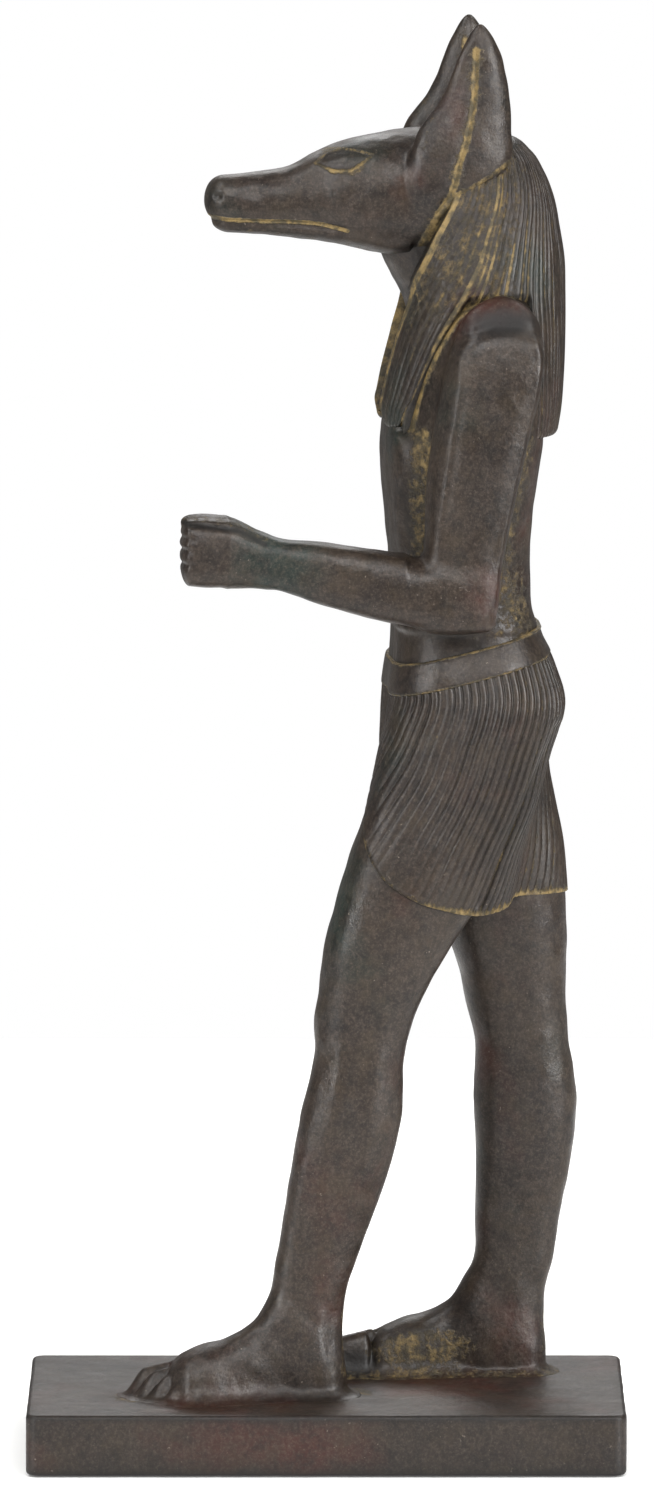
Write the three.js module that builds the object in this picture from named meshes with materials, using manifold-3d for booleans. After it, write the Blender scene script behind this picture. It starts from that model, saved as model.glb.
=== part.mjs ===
// A striding jackal-headed figure on a low plinth, cast in one piece.
// Millimetres, +Z up. The figure looks along -Y and its left side is towards +X.
// The origin is the middle of the plinth's underside.

import * as THREE from 'three';
import { mergeVertices } from 'three/addons/utils/BufferGeometryUtils.js';
import Module from 'manifold-3d';

const wasm = await Module();
wasm.setup();

// The plinth
const PLINTH_LENGTH = 75.2;
const PLINTH_WIDTH = 42;
const PLINTH_HEIGHT = 7.7;
const PLINTH_CORNER = 1.6; // radius of the upright corners
const PLINTH_EDGE = 0.5; // bevel of the top and bottom edges

// The figure
const FIGURE_HEIGHT = 172.5; // soles to ear tips
const FIGURE_TURN = 5; // degrees that it is turned to its left on the plinth
const FIGURE_SETBACK = 16.5; // the body's plumb line behind the plinth's middle
const FIGURE_SIDESTEP = -1.5; // and to its side

// The carving
const STRAND_DEPTH = 0.35;
const PLEAT_DEPTH = 0.35;
const KILT_THICKNESS = 0.35;
const BELT_THICKNESS = 0.25;
const EAR_FOLD_DEPTH = 1.3;
const FINGER_GROOVE = 0.7;
const LAPPET_STRANDS = 5; // on each side
const SIDE_STRANDS = 5; // on each side
const BACK_STRANDS = 8; // on each side
const PLEATS = 20; // on each side

// The figure's forms are shares of its height: this many units make it up.
const FIGURE_UNITS = 172.5;
const UNIT = FIGURE_HEIGHT / FIGURE_UNITS;
// How square a section is: 2 is an ellipse, more is fuller at the corners
const BODY_SQUARENESS = 2.2;
const TRUNK_SQUARENESS = 2.4;
const HEAD_SQUARENESS = 2.5;
const BLOCK_SQUARENESS = 3;

// Upright forms: height above the soles, front, back, half width, sideways middle
const LEFT_LEG = [
  [-1, -22.4, -14.9, 2.9, 5.8],
  [6, -24.0, -15.1, 3.0, 5.8],
  [13, -24.0, -14.6, 2.9, 5.9],
  [20.4, -22.8, -12.1, 3.1, 6],
  [28.1, -21.6, -9.4, 4, 6.1],
  [35.6, -20.3, -7.6, 4.6, 6.2],
  [43.2, -18.5, -7.3, 4.5, 6.3],
  [49, -18.0, -5.7, 4.8, 6.3],
  [56.5, -17.4, -1.7, 5.6, 6.3],
  [62.3, -15.9, 2, 6.1, 6.3],
  [68.8, -14.0, 4.6, 6.4, 6.3],
  [74.3, -12.0, 7.6, 6.5, 6.3],
  [80.9, -9.9, 9.8, 6.5, 6.3],
  [86.9, -8.0, 11.0, 6.3, 6.2],
  [91.9, -6.8, 8.6, 5.2, 6],
  [97, -4, 6, 3.5, 5.5],
];
const RIGHT_LEG = [
  [-1, 1.5, 11.6, 2.9, -8.2],
  [6, 0.0, 11.8, 3, -8.1],
  [10.8, 1.2, 12.0, 2.9, -8],
  [14.4, 2.8, 12.9, 2.9, -7.9],
  [20.2, 3.0, 13.8, 3.1, -7.8],
  [27.9, 3.1, 15.2, 4, -7.5],
  [35.5, 2.8, 15.8, 4.6, -7.3],
  [43.2, 2.9, 14.7, 4.5, -7],
  [48.9, 1.9, 14.3, 4.8, -6.8],
  [55.6, -0.3, 14.4, 5.6, -6.6],
  [62.2, -2.1, 14.1, 6.1, -6.4],
  [68.7, -4.2, 13.5, 6.4, -6.3],
  [74.2, -6, 12.4, 6.5, -6.3],
  [80.7, -7.4, 11.2, 6.5, -6.3],
  [86.7, -7.8, 11.2, 6.3, -6.2],
  [91.7, -6.8, 8.6, 5.2, -6],
  [97, -4, 6, 3.5, -5.5],
];
const TORSO = [
  [60.7, -6.5, 6, 8, 0],
  [72.8, -8.2, 8.6, 10.5, 0],
  [80.8, -9.0, 10.4, 12.2, 0],
  [84.8, -8.5, 11.9, 12.7, 0],
  [87.8, -8.3, 12.6, 12.9, 0],
  [91.8, -8.4, 11.6, 12.5, 0],
  [96.8, -8.3, 9.5, 11.6, 0],
  [103.8, -8.5, 8.8, 11, 0],
  [111.8, -9.2, 9.2, 12.1, 0],
  [119.8, -9.6, 10.3, 13.4, 0],
  [126.7, -8.5, 10.4, 14.2, 0],
  [132.7, -6.6, 10, 15, 0],
  [136.7, -4.2, 9.2, 14.4, 0],
  [140, -2.5, 8.4, 10, 0],
];
const THROAT = [
  [126.7, -6.8, 6, 5.5, 0],
  [132.7, -6.2, 6, 5.4, 0],
  [136.7, -6.6, 6, 5.5, 0],
  [142.7, -9.4, 6, 5.9, 0],
  [146.6, -11, 6, 6.2, 0],
];
const LEFT_UPPER_ARM = [
  [97.7, -5.4, 2.8, 3.2, 15.4],
  [104.6, -5.8, 3.5, 3.4, 15.3],
  [111, -5.6, 4.8, 3.6, 15.2],
  [116, -5.4, 5.8, 3.8, 15.1],
  [123.8, -4.3, 7.5, 4, 15],
  [128.7, -3.2, 8.7, 4, 14.9],
  [133.3, -1.8, 9.1, 3.9, 14.5],
  [139.3, -0.6, 8, 3.5, 13.7],
];
const RIGHT_ARM = [
  [73.6, -2.9, 2.5, 3, -15.2],
  [78.6, -2.4, 2.4, 2.7, -15.3],
  [84.6, -2.6, 3.2, 3, -15.4],
  [92.5, -2.9, 4.6, 3.6, -15.4],
  [98.5, -2.5, 5.4, 3.5, -15.4],
  [103.5, -2.1, 6, 3.4, -15.4],
  [113.4, -2.6, 6.6, 3.7, -15.2],
  [121.4, -3, 7.6, 4, -15],
  [128.1, -2.8, 8.6, 4, -14.9],
  [132.7, -1.8, 9, 3.9, -14.5],
  [138.7, -0.6, 8, 3.5, -13.7],
];
const LEFT_ARMPIT_WEB = [
  [100, -3.4, 1.5, 3, 12.2],
  [113.1, -3.4, 4, 3, 12.6],
  [130.1, -2.6, 6.5, 3, 13.2],
];
const RIGHT_ARMPIT_WEB = [
  [82.6, -1.4, 2.6, 2.4, -13.6],
  [103.5, -1.4, 4.4, 3, -12.8],
  [129.4, -2, 6.5, 3, -13.2],
];
const EAR = [
  [148.6, -6, -1.6, 1, 7.4],
  [151.4, -6.8, 1.6, 1.9, 8],
  [153.4, -7, 4.3, 2.2, 8],
  [155.6, -6.9, 5.7, 2.4, 7.8],
  [159.3, -5.7, 5.8, 2.3, 7.5],
  [162.7, -3.2, 5.7, 2.1, 7.3],
  [167.5, -1.1, 4.9, 1.7, 7.2],
  [172.5, 0.4, 3.6, 1.2, 7.2],
];
// Where the ear is folded: height, place front to back
const EAR_FOLD = [
  [148, -2.2],
  [155.8, 0.3],
  [162, 1.4],
  [171, 1.8],
];
const EAR_FOLD_WIDTH = 2.4;
const EAR_RIM = 0.6;

// Forms that reach forward: distance ahead of the plumb line, underside, top, half width, sideways middle
const HEAD = [
  [-5, 147.2, 156.4, 6.4, 0],
  [0, 143.8, 158.4, 8.3, 0],
  [5, 143.4, 159, 8.5, 0],
  [9.8, 143.8, 158.4, 8, 0],
  [13.8, 144.8, 157.6, 6.9, 0],
  [18.3, 146.0, 155.8, 5.1, 0],
  [21.1, 146.3, 154.4, 4.4, 0],
  [24.8, 146.6, 153.7, 3.9, 0],
  [31.8, 147.2, 153.2, 3.4, 0],
];
const LOWER_JAW = [
  [6, 143.2, 150.2, 6.6, 0],
  [9.8, 143.5, 150, 6.4, 0],
  [13.8, 144.4, 150, 5.6, 0],
  [21.1, 145.5, 149.8, 3.9, 0],
  [28.6, 146.2, 149.6, 3.2, 0],
  [31.2, 146.5, 149.4, 3.0, 0],
];
const LEFT_FOREARM = [
  [-2.7, 98.1, 105.6, 3.2, 15.4],
  [3, 97.8, 106, 3.7, 15.4],
  [8.5, 98.6, 107.4, 3.8, 15.3],
  [13, 99.6, 108.1, 3.6, 15.1],
  [19.7, 101.6, 109, 3.1, 14.5],
  [22.8, 102.7, 109.2, 2.8, 14.2],
  [26, 103.3, 110.1, 2.8, 13.8],
  [30.4, 103.6, 111.8, 3.2, 13.4],
];
// An eye: distance ahead, lower lid, upper lid
const EYE = [
  [10.4, 156.0, 156.6],
  [12.2, 155.1, 157.1],
  [14.2, 154.5, 156.9],
  [16.2, 154.4, 156.1],
  [17.8, 154.7, 155.1],
];
const EYE_RISE = 0.4;
// The foot, measured from the back of the heel
const FOOT = [
  [0, -3.5, 6.0, 2.7, 0],
  [4, -4.0, 9.5, 3.2, 0],
  [9, -4.0, 12.4, 3.2, 0],
  [11.4, -4.0, 9.5, 3.4, 0.1],
  [13, -4.0, 8.4, 3.7, 0.2],
  [15, -3.8, 7.4, 3.9, 0.3],
  [18, -3.5, 6.6, 4.3, 0.4],
  [21.5, -3.0, 5.6, 4.6, 0.4],
  [24.5, -2.6, 4.2, 4.3, 0.3],
];
// A fist from the wrist's end to the knuckles, from the little finger's side up to the thumb's
const FIST = {
  back: -2,
  front: 7.9,
  half: 3.5,
  bottom: -4.1,
  top: 3.8,
  rounding: 0.8,
  fingers: [-3.1, -1.1, 0.9, 2.9],
  grooves: [-2.1, -0.1, 1.9],
};
const THUMB = [
  [-1, 2.8, 4.5, 1.5, -0.6],
  [3, 3.1, 5.0, 1.5, -0.6],
  [7.2, 3.4, 4.9, 1.3, -0.9],
];
const LEFT_FIST = { reach: 28.2, height: 107.7, middle: 13.3 };
const RIGHT_FIST = { depth: 0.2, height: 75.2, middle: -15 };
const FOOT_LENGTH = 26.4;
const LEFT_HEEL = { x: 5.8, y: -14.8, turnOut: 3 };
const RIGHT_HEEL = { x: -8.2, y: 11.8, turnOut: 3 };
// Toes, from the big toe outwards: sideways place, how far the tip stops short, half width
const TOES = [
  [-2.7, 0, 1.5],
  [-0.6, 0.5, 0.95],
  [1.2, 1.3, 0.9],
  [2.8, 2.5, 0.9],
  [4.1, 4.2, 0.8],
];
const TOE_LENGTH = 6;
const TOE_TOP = 4.2;
const TOE_DROP = 0.5; // from its root to its tip

// The wig: height, front, back, half width, then in degrees from straight ahead its front edge,
// the outer edge of its lappet and the near edge of its back panel
const WIG_AXIS = 2; // behind the plumb line
const WIG = [
  [120.9, -10.2, 12.3, 11.8, 15.5, 39, 124],
  [123.9, -10.5, 12.8, 12.0, 15.5, 44, 124],
  [127.7, -9.9, 13.1, 12.3, 16.5, 52, 122],
  [133.7, -8.4, 13.3, 12.5, 21, 66, 121],
  [138.7, -7.4, 13.3, 12.1, 33, 80, 120],
  [142.7, -8.4, 13.2, 11.5, 49, 89, 122],
  [146.6, -8.6, 12.6, 10.9, 59, 95, 126],
  [150.6, -8, 11.8, 10.1, 69, 102, 131],
  [153.6, -7, 10.6, 9.2, 73, 105, 134],
  [156.2, -5, 8.9, 7.6, 75, 106, 136],
  [157.9, -3, 6.6, 4.8, 75, 108, 138],
  [158.8, 0.5, 3.5, 1.2, 75, 110, 140],
];
const WIG_RINGS = [123.9, 133, 137, 139.3, 142.5, 146.5, 151, 155, 157.6];
const WIG_SQUARENESS = 2.3;
const SHOULDER_TOP = 139; // below it the sides of the wig go under the shoulders
const SHOULDER_FADE = 2.4;
const SIDE_RECESS = 1.8;
const THROAT_RECESS = 2.6;
const THROAT_SPAN = 0.93; // of the width between the wig's front edges

// The kilt's hem: degrees from straight ahead, height
const HEM = [
  [0, 79.9],
  [18, 78.9],
  [30, 74.4],
  [40, 70],
  [50, 66.4],
  [64, 63.6],
  [80, 62.2],
  [180, 62.2],
];
const HEM_INSET = 1.6;
const KILT_BLEND = 3.5; // how softly the cloth bridges the thighs
const KILT_AXIS = [-0.6, 1.6]; // the cloth's middle at the hem and at the belt, front to back
// The belt slopes up towards the back: its lower and upper edge at the front and at the back
const BELT_FRONT = [88.5, 92.4];
const BELT_BACK = [93.8, 97.4];
const BELT_FRONT_Y = -9;
const BELT_BACK_Y = 12;
// The tab that hangs between the kilt's two wings: height, front, back, half width, sideways middle
const KILT_TAB = [
  [66.7, -9.6, -4, 3.4, 0],
  [76.8, -10.3, -4, 3, 0],
  [89.8, -9.7, -4, 2.2, 0],
];

const radians = THREE.MathUtils.degToRad;

// A smooth curve through rows of numbers, the first of each being the place along it.
function through(rows) {
  const width = rows[0].length - 1;
  const places = rows.map((row) => row[0]);
  const values = rows.flatMap((row) => row.slice(1));
  const curve = new THREE.CubicInterpolant(places, values, width, new Float32Array(width));
  const [first, last] = [places[0], places[places.length - 1]];
  return (place) => Array.from(curve.evaluate(THREE.MathUtils.clamp(place, first, last)));
}

function signedVolume(points, triangles) {
  let sum = 0;
  for (const [a, b, c] of triangles) {
    sum += points[a].dot(new THREE.Vector3().crossVectors(points[b], points[c]));
  }
  return sum / 6;
}

function middleOf(ring) {
  return ring.reduce((sum, point) => sum.add(point), new THREE.Vector3()).divideScalar(ring.length);
}

// A closed skin over rings of points, closed by a fan to a point at each end.
function skin(rings, startPoint = middleOf(rings[0]), endPoint = middleOf(rings[rings.length - 1])) {
  const around = rings[0].length;
  const points = [...rings.flat(), startPoint, endPoint];
  const [startIndex, endIndex] = [points.length - 2, points.length - 1];
  const lastRing = (rings.length - 1) * around;
  const triangles = [];
  for (let j = 0; j < around; j++) {
    const next = (j + 1) % around;
    triangles.push([startIndex, next, j]);
    triangles.push([endIndex, lastRing + j, lastRing + next]);
    for (let i = 0; i < rings.length - 1; i++) {
      const [low, high] = [i * around, (i + 1) * around];
      triangles.push([low + j, low + next, high + next]);
      triangles.push([low + j, high + next, high + j]);
    }
  }
  if (signedVolume(points, triangles) < 0) triangles.forEach((triangle) => triangle.reverse());
  const geometry = new THREE.BufferGeometry();
  geometry.setAttribute('position', new THREE.Float32BufferAttribute(points.flatMap((p) => p.toArray()), 3));
  geometry.setIndex(triangles.flat());
  return geometry;
}

const power = (value, exponent) => Math.sign(value) * Math.abs(value) ** exponent;

// How a form's own width, length and depth lie in the figure
const upright = (x, along, across) => new THREE.Vector3(x, across, along).multiplyScalar(UNIT);
const forward = (x, along, across) => new THREE.Vector3(x, -along, across).multiplyScalar(UNIT);

// Places along a form and the size of the section there, with rounded ends where asked.
function sections(rows, steps, startRound, endRound, domeRings) {
  const [start, end] = [rows[0][0], rows[rows.length - 1][0]];
  const dome = Array.from({ length: domeRings }, (_, i) => radians((90 * (i + 1)) / (domeRings + 1)));
  const list = [];
  if (startRound) {
    for (const a of dome) list.push([start + startRound * (1 - Math.cos(a)), Math.sin(a)]);
  }
  for (let i = 0; i <= steps; i++) {
    list.push([THREE.MathUtils.lerp(start + startRound, end - endRound, i / steps), 1]);
  }
  if (endRound) {
    for (const a of dome.reverse()) list.push([end - endRound * (1 - Math.cos(a)), Math.sin(a)]);
  }
  return list;
}

// A rounded form lofted through its stations. The shape option may move a point sideways.
function form(rows, lie, options) {
  const { around = 16, steps = 10, squareness = BODY_SQUARENESS } = options;
  const { startRound = 0, endRound = 0, domeRings = 2 } = options;
  const { shape, places = sections(rows, steps, startRound, endRound, domeRings) } = options;
  const at = through(rows);
  const rings = places.map(([along, size]) => {
    const [low, high, half, middle] = at(along);
    return Array.from({ length: around }, (_, j) => {
      const a = (j / around) * 2 * Math.PI;
      const x = middle + half * size * power(Math.cos(a), 2 / squareness);
      const across = (low + high) / 2 + ((high - low) / 2) * size * power(Math.sin(a), 2 / squareness);
      return lie(shape ? shape(x, along, across, middle) : x, along, across);
    });
  });
  const pole = (along) => {
    const [low, high, , middle] = at(along);
    const across = (low + high) / 2;
    return lie(shape ? shape(middle, along, across, middle) : middle, along, across);
  };
  return skin(rings, pole(rows[0][0]), pole(rows[rows.length - 1][0]));
}

// A form's own inside-outside measure at a point, in units: negative inside.
function measure(rows, squareness = BODY_SQUARENESS) {
  const at = through(rows);
  return (x, along, across) => {
    const [low, high, half, middle] = at(along);
    const depth = (high - low) / 2;
    const u = Math.abs(x - middle) / half;
    const v = Math.abs(across - (low + high) / 2) / depth;
    return ((u ** squareness + v ** squareness) ** (1 / squareness) - 1) * Math.min(half, depth);
  };
}

function softMin(a, b, width) {
  const h = Math.max(width - Math.abs(a - b), 0) / width;
  return Math.min(a, b) - (h * h * width) / 4;
}

// The body under the kilt and belt, at a height: both thighs and the hips, softly joined
const thighs = [measure(LEFT_LEG), measure(RIGHT_LEG)];
const trunk = measure(TORSO);
function underCloth(x, y, z) {
  const legs = softMin(thighs[0](x, z, y), thighs[1](x, z, y), KILT_BLEND);
  return softMin(legs, trunk(x, z, y), KILT_BLEND);
}
const kiltAxis = (z) => THREE.MathUtils.mapLinear(z, HEM[HEM.length - 1][1], BELT_FRONT[0], ...KILT_AXIS);
const CLOTH_REACH = 24; // no cloth lies further from the kilt's middle than this
const CLOTH_STEP = 0.5;

// How far the body reaches from the kilt's middle in a direction, degrees from straight ahead
function bodyReach(degrees, z) {
  const [dx, dy] = [Math.sin(radians(degrees)), -Math.cos(radians(degrees))];
  const outside = (r) => underCloth(dx * r, kiltAxis(z) + dy * r, z) > 0;
  let high = CLOTH_REACH;
  while (high > CLOTH_STEP && outside(high - CLOTH_STEP)) high -= CLOTH_STEP;
  let low = high - CLOTH_STEP;
  for (let i = 0; i < 12; i++) {
    const middle = (low + high) / 2;
    if (outside(middle)) high = middle;
    else low = middle;
  }
  return low;
}

function aroundKilt(degrees, z, radius) {
  return upright(Math.sin(radians(degrees)) * radius, z, kiltAxis(z) - Math.cos(radians(degrees)) * radius);
}

// Directions that share the cloth's girth evenly between the pleats, from the front to the back on one side
function evenDirections(z, side, count) {
  const fine = 90;
  const lengths = [0];
  let previous = null;
  for (let i = 0; i <= fine; i++) {
    const degrees = (side * 180 * i) / fine;
    const point = aroundKilt(degrees, z, bodyReach(degrees, z));
    if (previous) lengths.push(lengths[lengths.length - 1] + point.distanceTo(previous));
    previous = point;
  }
  const total = lengths[lengths.length - 1];
  return Array.from({ length: count + 1 }, (_, k) => {
    const wanted = (total * k) / count;
    const i = Math.min(Math.max(lengths.findIndex((length) => length >= wanted), 1), fine);
    const share = (wanted - lengths[i - 1]) / (lengths[i] - lengths[i - 1]);
    return (side * 180 * (i - 1 + share)) / fine;
  });
}

// Height and reach on the sloping belt in a direction: share 0 is its lower edge, 1 its upper one
function onBelt(degrees, share, grow) {
  const front = THREE.MathUtils.lerp(...BELT_FRONT, share);
  const back = THREE.MathUtils.lerp(...BELT_BACK, share);
  let z = front;
  let radius = 0;
  for (let pass = 0; pass < 4; pass++) {
    radius = bodyReach(degrees, z) + grow;
    const y = kiltAxis(z) - Math.cos(radians(degrees)) * radius;
    z = THREE.MathUtils.mapLinear(y, BELT_FRONT_Y, BELT_BACK_Y, front, back);
  }
  return { z, radius };
}

function kilt() {
  const hemAt = through(HEM);
  const hemLevel = HEM[HEM.length - 1][1];
  const levels = [0, 0.25, 0.5, 0.75, 1];
  const hemDirections = [1, -1].map((side) => evenDirections(hemLevel, side, 2 * PLEATS));
  const rings = levels.map((level) => {
    const typical = THREE.MathUtils.lerp(BELT_FRONT[1], hemLevel, level);
    const directions = [1, -1].map((side) => evenDirections(typical, side, 2 * PLEATS));
    const ring = [];
    for (let k = 0; k < 4 * PLEATS; k++) {
      const half = k < 2 * PLEATS ? 0 : 1;
      const index = half === 0 ? k : 4 * PLEATS - k;
      const degrees = directions[half][index];
      const [hem] = hemAt(Math.abs(hemDirections[half][index]));
      const z = THREE.MathUtils.lerp(onBelt(degrees, 0.5, 0).z, hem, level);
      const fold = k % 2 === 0 ? 0 : PLEAT_DEPTH / UNIT;
      ring.push(aroundKilt(degrees, z, bodyReach(degrees, z) + KILT_THICKNESS / UNIT - fold));
    }
    return ring;
  });
  const hemRing = rings[rings.length - 1];
  const axis = upright(0, hemLevel, kiltAxis(hemLevel));
  const inset = hemRing.map((p) => {
    const inward = new THREE.Vector3(axis.x - p.x, axis.y - p.y, 0).setLength(HEM_INSET * UNIT);
    return p.clone().add(inward);
  });
  return skin([...rings, inset]);
}

function belt() {
  const around = 28;
  const out = (BELT_THICKNESS + KILT_THICKNESS) / UNIT;
  const ring = (share, grow) =>
    Array.from({ length: around }, (_, j) => {
      const degrees = (360 * j) / around;
      const { z, radius } = onBelt(degrees, share, grow);
      return aroundKilt(degrees, z, radius);
    });
  return skin([ring(0, -HEM_INSET), ring(0, out), ring(1, out), ring(1, -HEM_INSET)]);
}

// The wig's outline at a height, as points from straight ahead round to the back on one side
function wigSide(z, side, at) {
  const [front, back, half, edge, lappet, panel] = at(z);
  const underShoulder = THREE.MathUtils.clamp((SHOULDER_TOP - z) / SHOULDER_FADE, 0, 1);
  const reach = (degrees) => {
    const [s, c] = [Math.sin(radians(degrees)), Math.cos(radians(degrees))];
    const depth = c > 0 ? WIG_AXIS - front : back - WIG_AXIS;
    return ((s / half) ** WIG_SQUARENESS + (Math.abs(c) / depth) ** WIG_SQUARENESS) ** (-1 / WIG_SQUARENESS);
  };
  const point = (degrees, radius) => {
    const a = radians(degrees);
    return upright(side * Math.sin(a) * radius, z, WIG_AXIS - Math.cos(a) * radius);
  };
  const strand = STRAND_DEPTH / UNIT;
  const points = [];
  const sector = (from, to, strands, sunk) => {
    for (let k = 0; k < 2 * strands; k++) {
      const degrees = THREE.MathUtils.lerp(from, to, k / (2 * strands));
      const carved = k % 2 === 0 ? 0 : strand;
      const ends = Math.min(1, k, 2 * strands - k);
      points.push(point(degrees, reach(degrees) - carved - sunk * ends));
    }
  };
  const edgePoint = point(edge, reach(edge));
  const sunkFront = edgePoint.y + THROAT_RECESS * UNIT * underShoulder;
  points.push(new THREE.Vector3(0, sunkFront, edgePoint.z));
  points.push(new THREE.Vector3(edgePoint.x * THROAT_SPAN, sunkFront, edgePoint.z));
  sector(edge, lappet, LAPPET_STRANDS, 0);
  sector(lappet, panel, SIDE_STRANDS, SIDE_RECESS * underShoulder);
  sector(panel, 180, BACK_STRANDS, 0);
  points.push(point(180, reach(180)));
  return points;
}

function wig() {
  const at = through(WIG);
  const hem = WIG[0][0];
  const crown = WIG[WIG.length - 1][0];
  const heights = [hem, ...WIG_RINGS, crown];
  const rings = heights.map((z) => {
    const left = wigSide(z, 1, at);
    const right = wigSide(z, -1, at).slice(1, -1).reverse();
    return [...left, ...right];
  });
  return skin(rings);
}

// How far out the head's side lies, ahead of the plumb line at a height
function headSide(ahead, z) {
  const inside = measure(HEAD, HEAD_SQUARENESS);
  let [low, high] = [0, 12];
  for (let i = 0; i < 12; i++) {
    const middle = (low + high) / 2;
    if (inside(middle, ahead, z) < 0) low = middle;
    else high = middle;
  }
  return low;
}

// An eye is a low almond on the side of the head.
function eye(side) {
  const rows = EYE.map(([ahead, lower, upper]) => {
    const out = headSide(ahead, (lower + upper) / 2);
    return [ahead, lower, upper, 1, side * (out + EYE_RISE / UNIT - 1)];
  });
  return form(rows, forward, { around: 8, steps: 4, squareness: 2 });
}

// An ear is a pointed leaf, folded down the middle of its outer face.
function ear(side) {
  const foldAt = through(EAR_FOLD);
  const shape = (x, along, across, middle) => {
    const near = Math.max(0, 1 - Math.abs(across - foldAt(along)[0]) / EAR_FOLD_WIDTH);
    const outside = THREE.MathUtils.clamp((x - middle) / EAR_RIM, 0, 1);
    const outer = x - (EAR_FOLD_DEPTH / UNIT) * near * outside;
    return side * outer;
  };
  return form(EAR, upright, { around: 12, steps: 5, squareness: 1.9, endRound: 5, shape });
}

// A closed fist: one block with grooves between the four rolled fingers, and the thumb laid along its side.
// Its own length runs towards the knuckles, its height towards the thumb and its width across the palm.
function fist(lie) {
  const { back, front, half, bottom, top, rounding, fingers, grooves } = FIST;
  const heights = [bottom, ...fingers, ...grooves, top].sort((a, b) => a - b);
  const block = heights.map((height) => {
    const groove = grooves.includes(height) ? FINGER_GROOVE / UNIT : 0;
    const end = height === bottom || height === top ? rounding : 0;
    return [height, back + end, front - groove - end, half - (groove + end) / 2, 0];
  });
  const upwards = (x, along, across) => lie(x, across, along);
  const places = heights.map((height) => [height, 1]);
  return [
    form(block, upwards, { around: 12, places, squareness: BLOCK_SQUARENESS }),
    form(THUMB, lie, { around: 8, steps: 2, endRound: 1.2, domeRings: 1 }),
  ];
}

function foot(heel, side) {
  const turn = radians(heel.turnOut) * side;
  const lie = (x, along, z) => {
    const [out, ahead] = [side * x, along];
    const turnedX = out * Math.cos(turn) + ahead * Math.sin(turn);
    const turnedY = out * Math.sin(turn) - ahead * Math.cos(turn);
    return new THREE.Vector3(heel.x + turnedX, heel.y + turnedY, z).multiplyScalar(UNIT);
  };
  const pieces = [form(FOOT, lie, { around: 12, steps: 7, startRound: 2, endRound: 1.5, domeRings: 1 })];
  for (const [x, short, half] of TOES) {
    const tip = FOOT_LENGTH - short;
    const rows = [
      [tip - TOE_LENGTH, -1, TOE_TOP, half, x * 0.9],
      [tip - TOE_LENGTH * 0.4, -1, TOE_TOP - TOE_DROP * 0.4, half, x],
      [tip, -1, TOE_TOP - TOE_DROP, half, x],
    ];
    pieces.push(form(rows, lie, { around: 6, steps: 1, endRound: 1.5, domeRings: 1 }));
  }
  return pieces;
}

function plinth() {
  const [halfWidth, halfLength] = [PLINTH_WIDTH / 2 - PLINTH_EDGE, PLINTH_LENGTH / 2 - PLINTH_EDGE];
  const corner = PLINTH_CORNER;
  const outline = new THREE.Shape();
  outline.moveTo(halfWidth - corner, -halfLength);
  outline.absarc(halfWidth - corner, -halfLength + corner, corner, -Math.PI / 2, 0, false);
  outline.absarc(halfWidth - corner, halfLength - corner, corner, 0, Math.PI / 2, false);
  outline.absarc(-halfWidth + corner, halfLength - corner, corner, Math.PI / 2, Math.PI, false);
  outline.absarc(-halfWidth + corner, -halfLength + corner, corner, Math.PI, 1.5 * Math.PI, false);
  const block = new THREE.ExtrudeGeometry(outline, {
    depth: PLINTH_HEIGHT - 2 * PLINTH_EDGE,
    bevelSize: PLINTH_EDGE,
    bevelThickness: PLINTH_EDGE,
    bevelSegments: 1,
    curveSegments: 4,
    steps: 1,
  });
  return block.translate(0, 0, PLINTH_EDGE);
}

function solid(geometry) {
  geometry.deleteAttribute('normal');
  geometry.deleteAttribute('uv');
  const merged = mergeVertices(geometry, 1e-4);
  const mesh = new wasm.Mesh({
    numProp: 3,
    vertProperties: new Float32Array(merged.attributes.position.array),
    triVerts: new Uint32Array(merged.index.array),
  });
  mesh.merge();
  return new wasm.Manifold(mesh);
}

function figureForms() {
  const [l, r] = [LEFT_FIST, RIGHT_FIST];
  const leftFist = (x, along, up) => forward(l.middle + x, l.reach + along, l.height + up);
  const rightFist = (x, along, up) => upright(r.middle - x, r.height - along, r.depth - up);
  return [
    form(LEFT_LEG, upright, { around: 16, steps: 13 }),
    form(RIGHT_LEG, upright, { around: 16, steps: 13 }),
    form(TORSO.slice(2), upright, { around: 20, steps: 10, squareness: TRUNK_SQUARENESS }),
    form(THROAT, upright, { around: 16, steps: 5 }),
    form(LEFT_UPPER_ARM, upright, { around: 12, steps: 6, startRound: 2.5, endRound: 4 }),
    form(LEFT_FOREARM, forward, { around: 12, steps: 7, startRound: 3 }),
    form(RIGHT_ARM, upright, { around: 12, steps: 9, endRound: 4 }),
    form(LEFT_ARMPIT_WEB, upright, { around: 8, steps: 2, squareness: BLOCK_SQUARENESS }),
    form(RIGHT_ARMPIT_WEB, upright, { around: 8, steps: 3, squareness: BLOCK_SQUARENESS }),
    form(HEAD, forward, { around: 16, steps: 10, squareness: HEAD_SQUARENESS, endRound: 2.4 }),
    form(LOWER_JAW, forward, { around: 12, steps: 5, squareness: BLOCK_SQUARENESS, endRound: 2.2 }),
    eye(1),
    eye(-1),
    ear(1),
    ear(-1),
    form(KILT_TAB, upright, { around: 8, steps: 2, squareness: BLOCK_SQUARENESS }),
    ...foot(LEFT_HEEL, 1),
    ...foot(RIGHT_HEEL, -1),
    ...fist(leftFist),
    ...fist(rightFist),
    kilt(),
    belt(),
    wig(),
  ];
}

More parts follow.
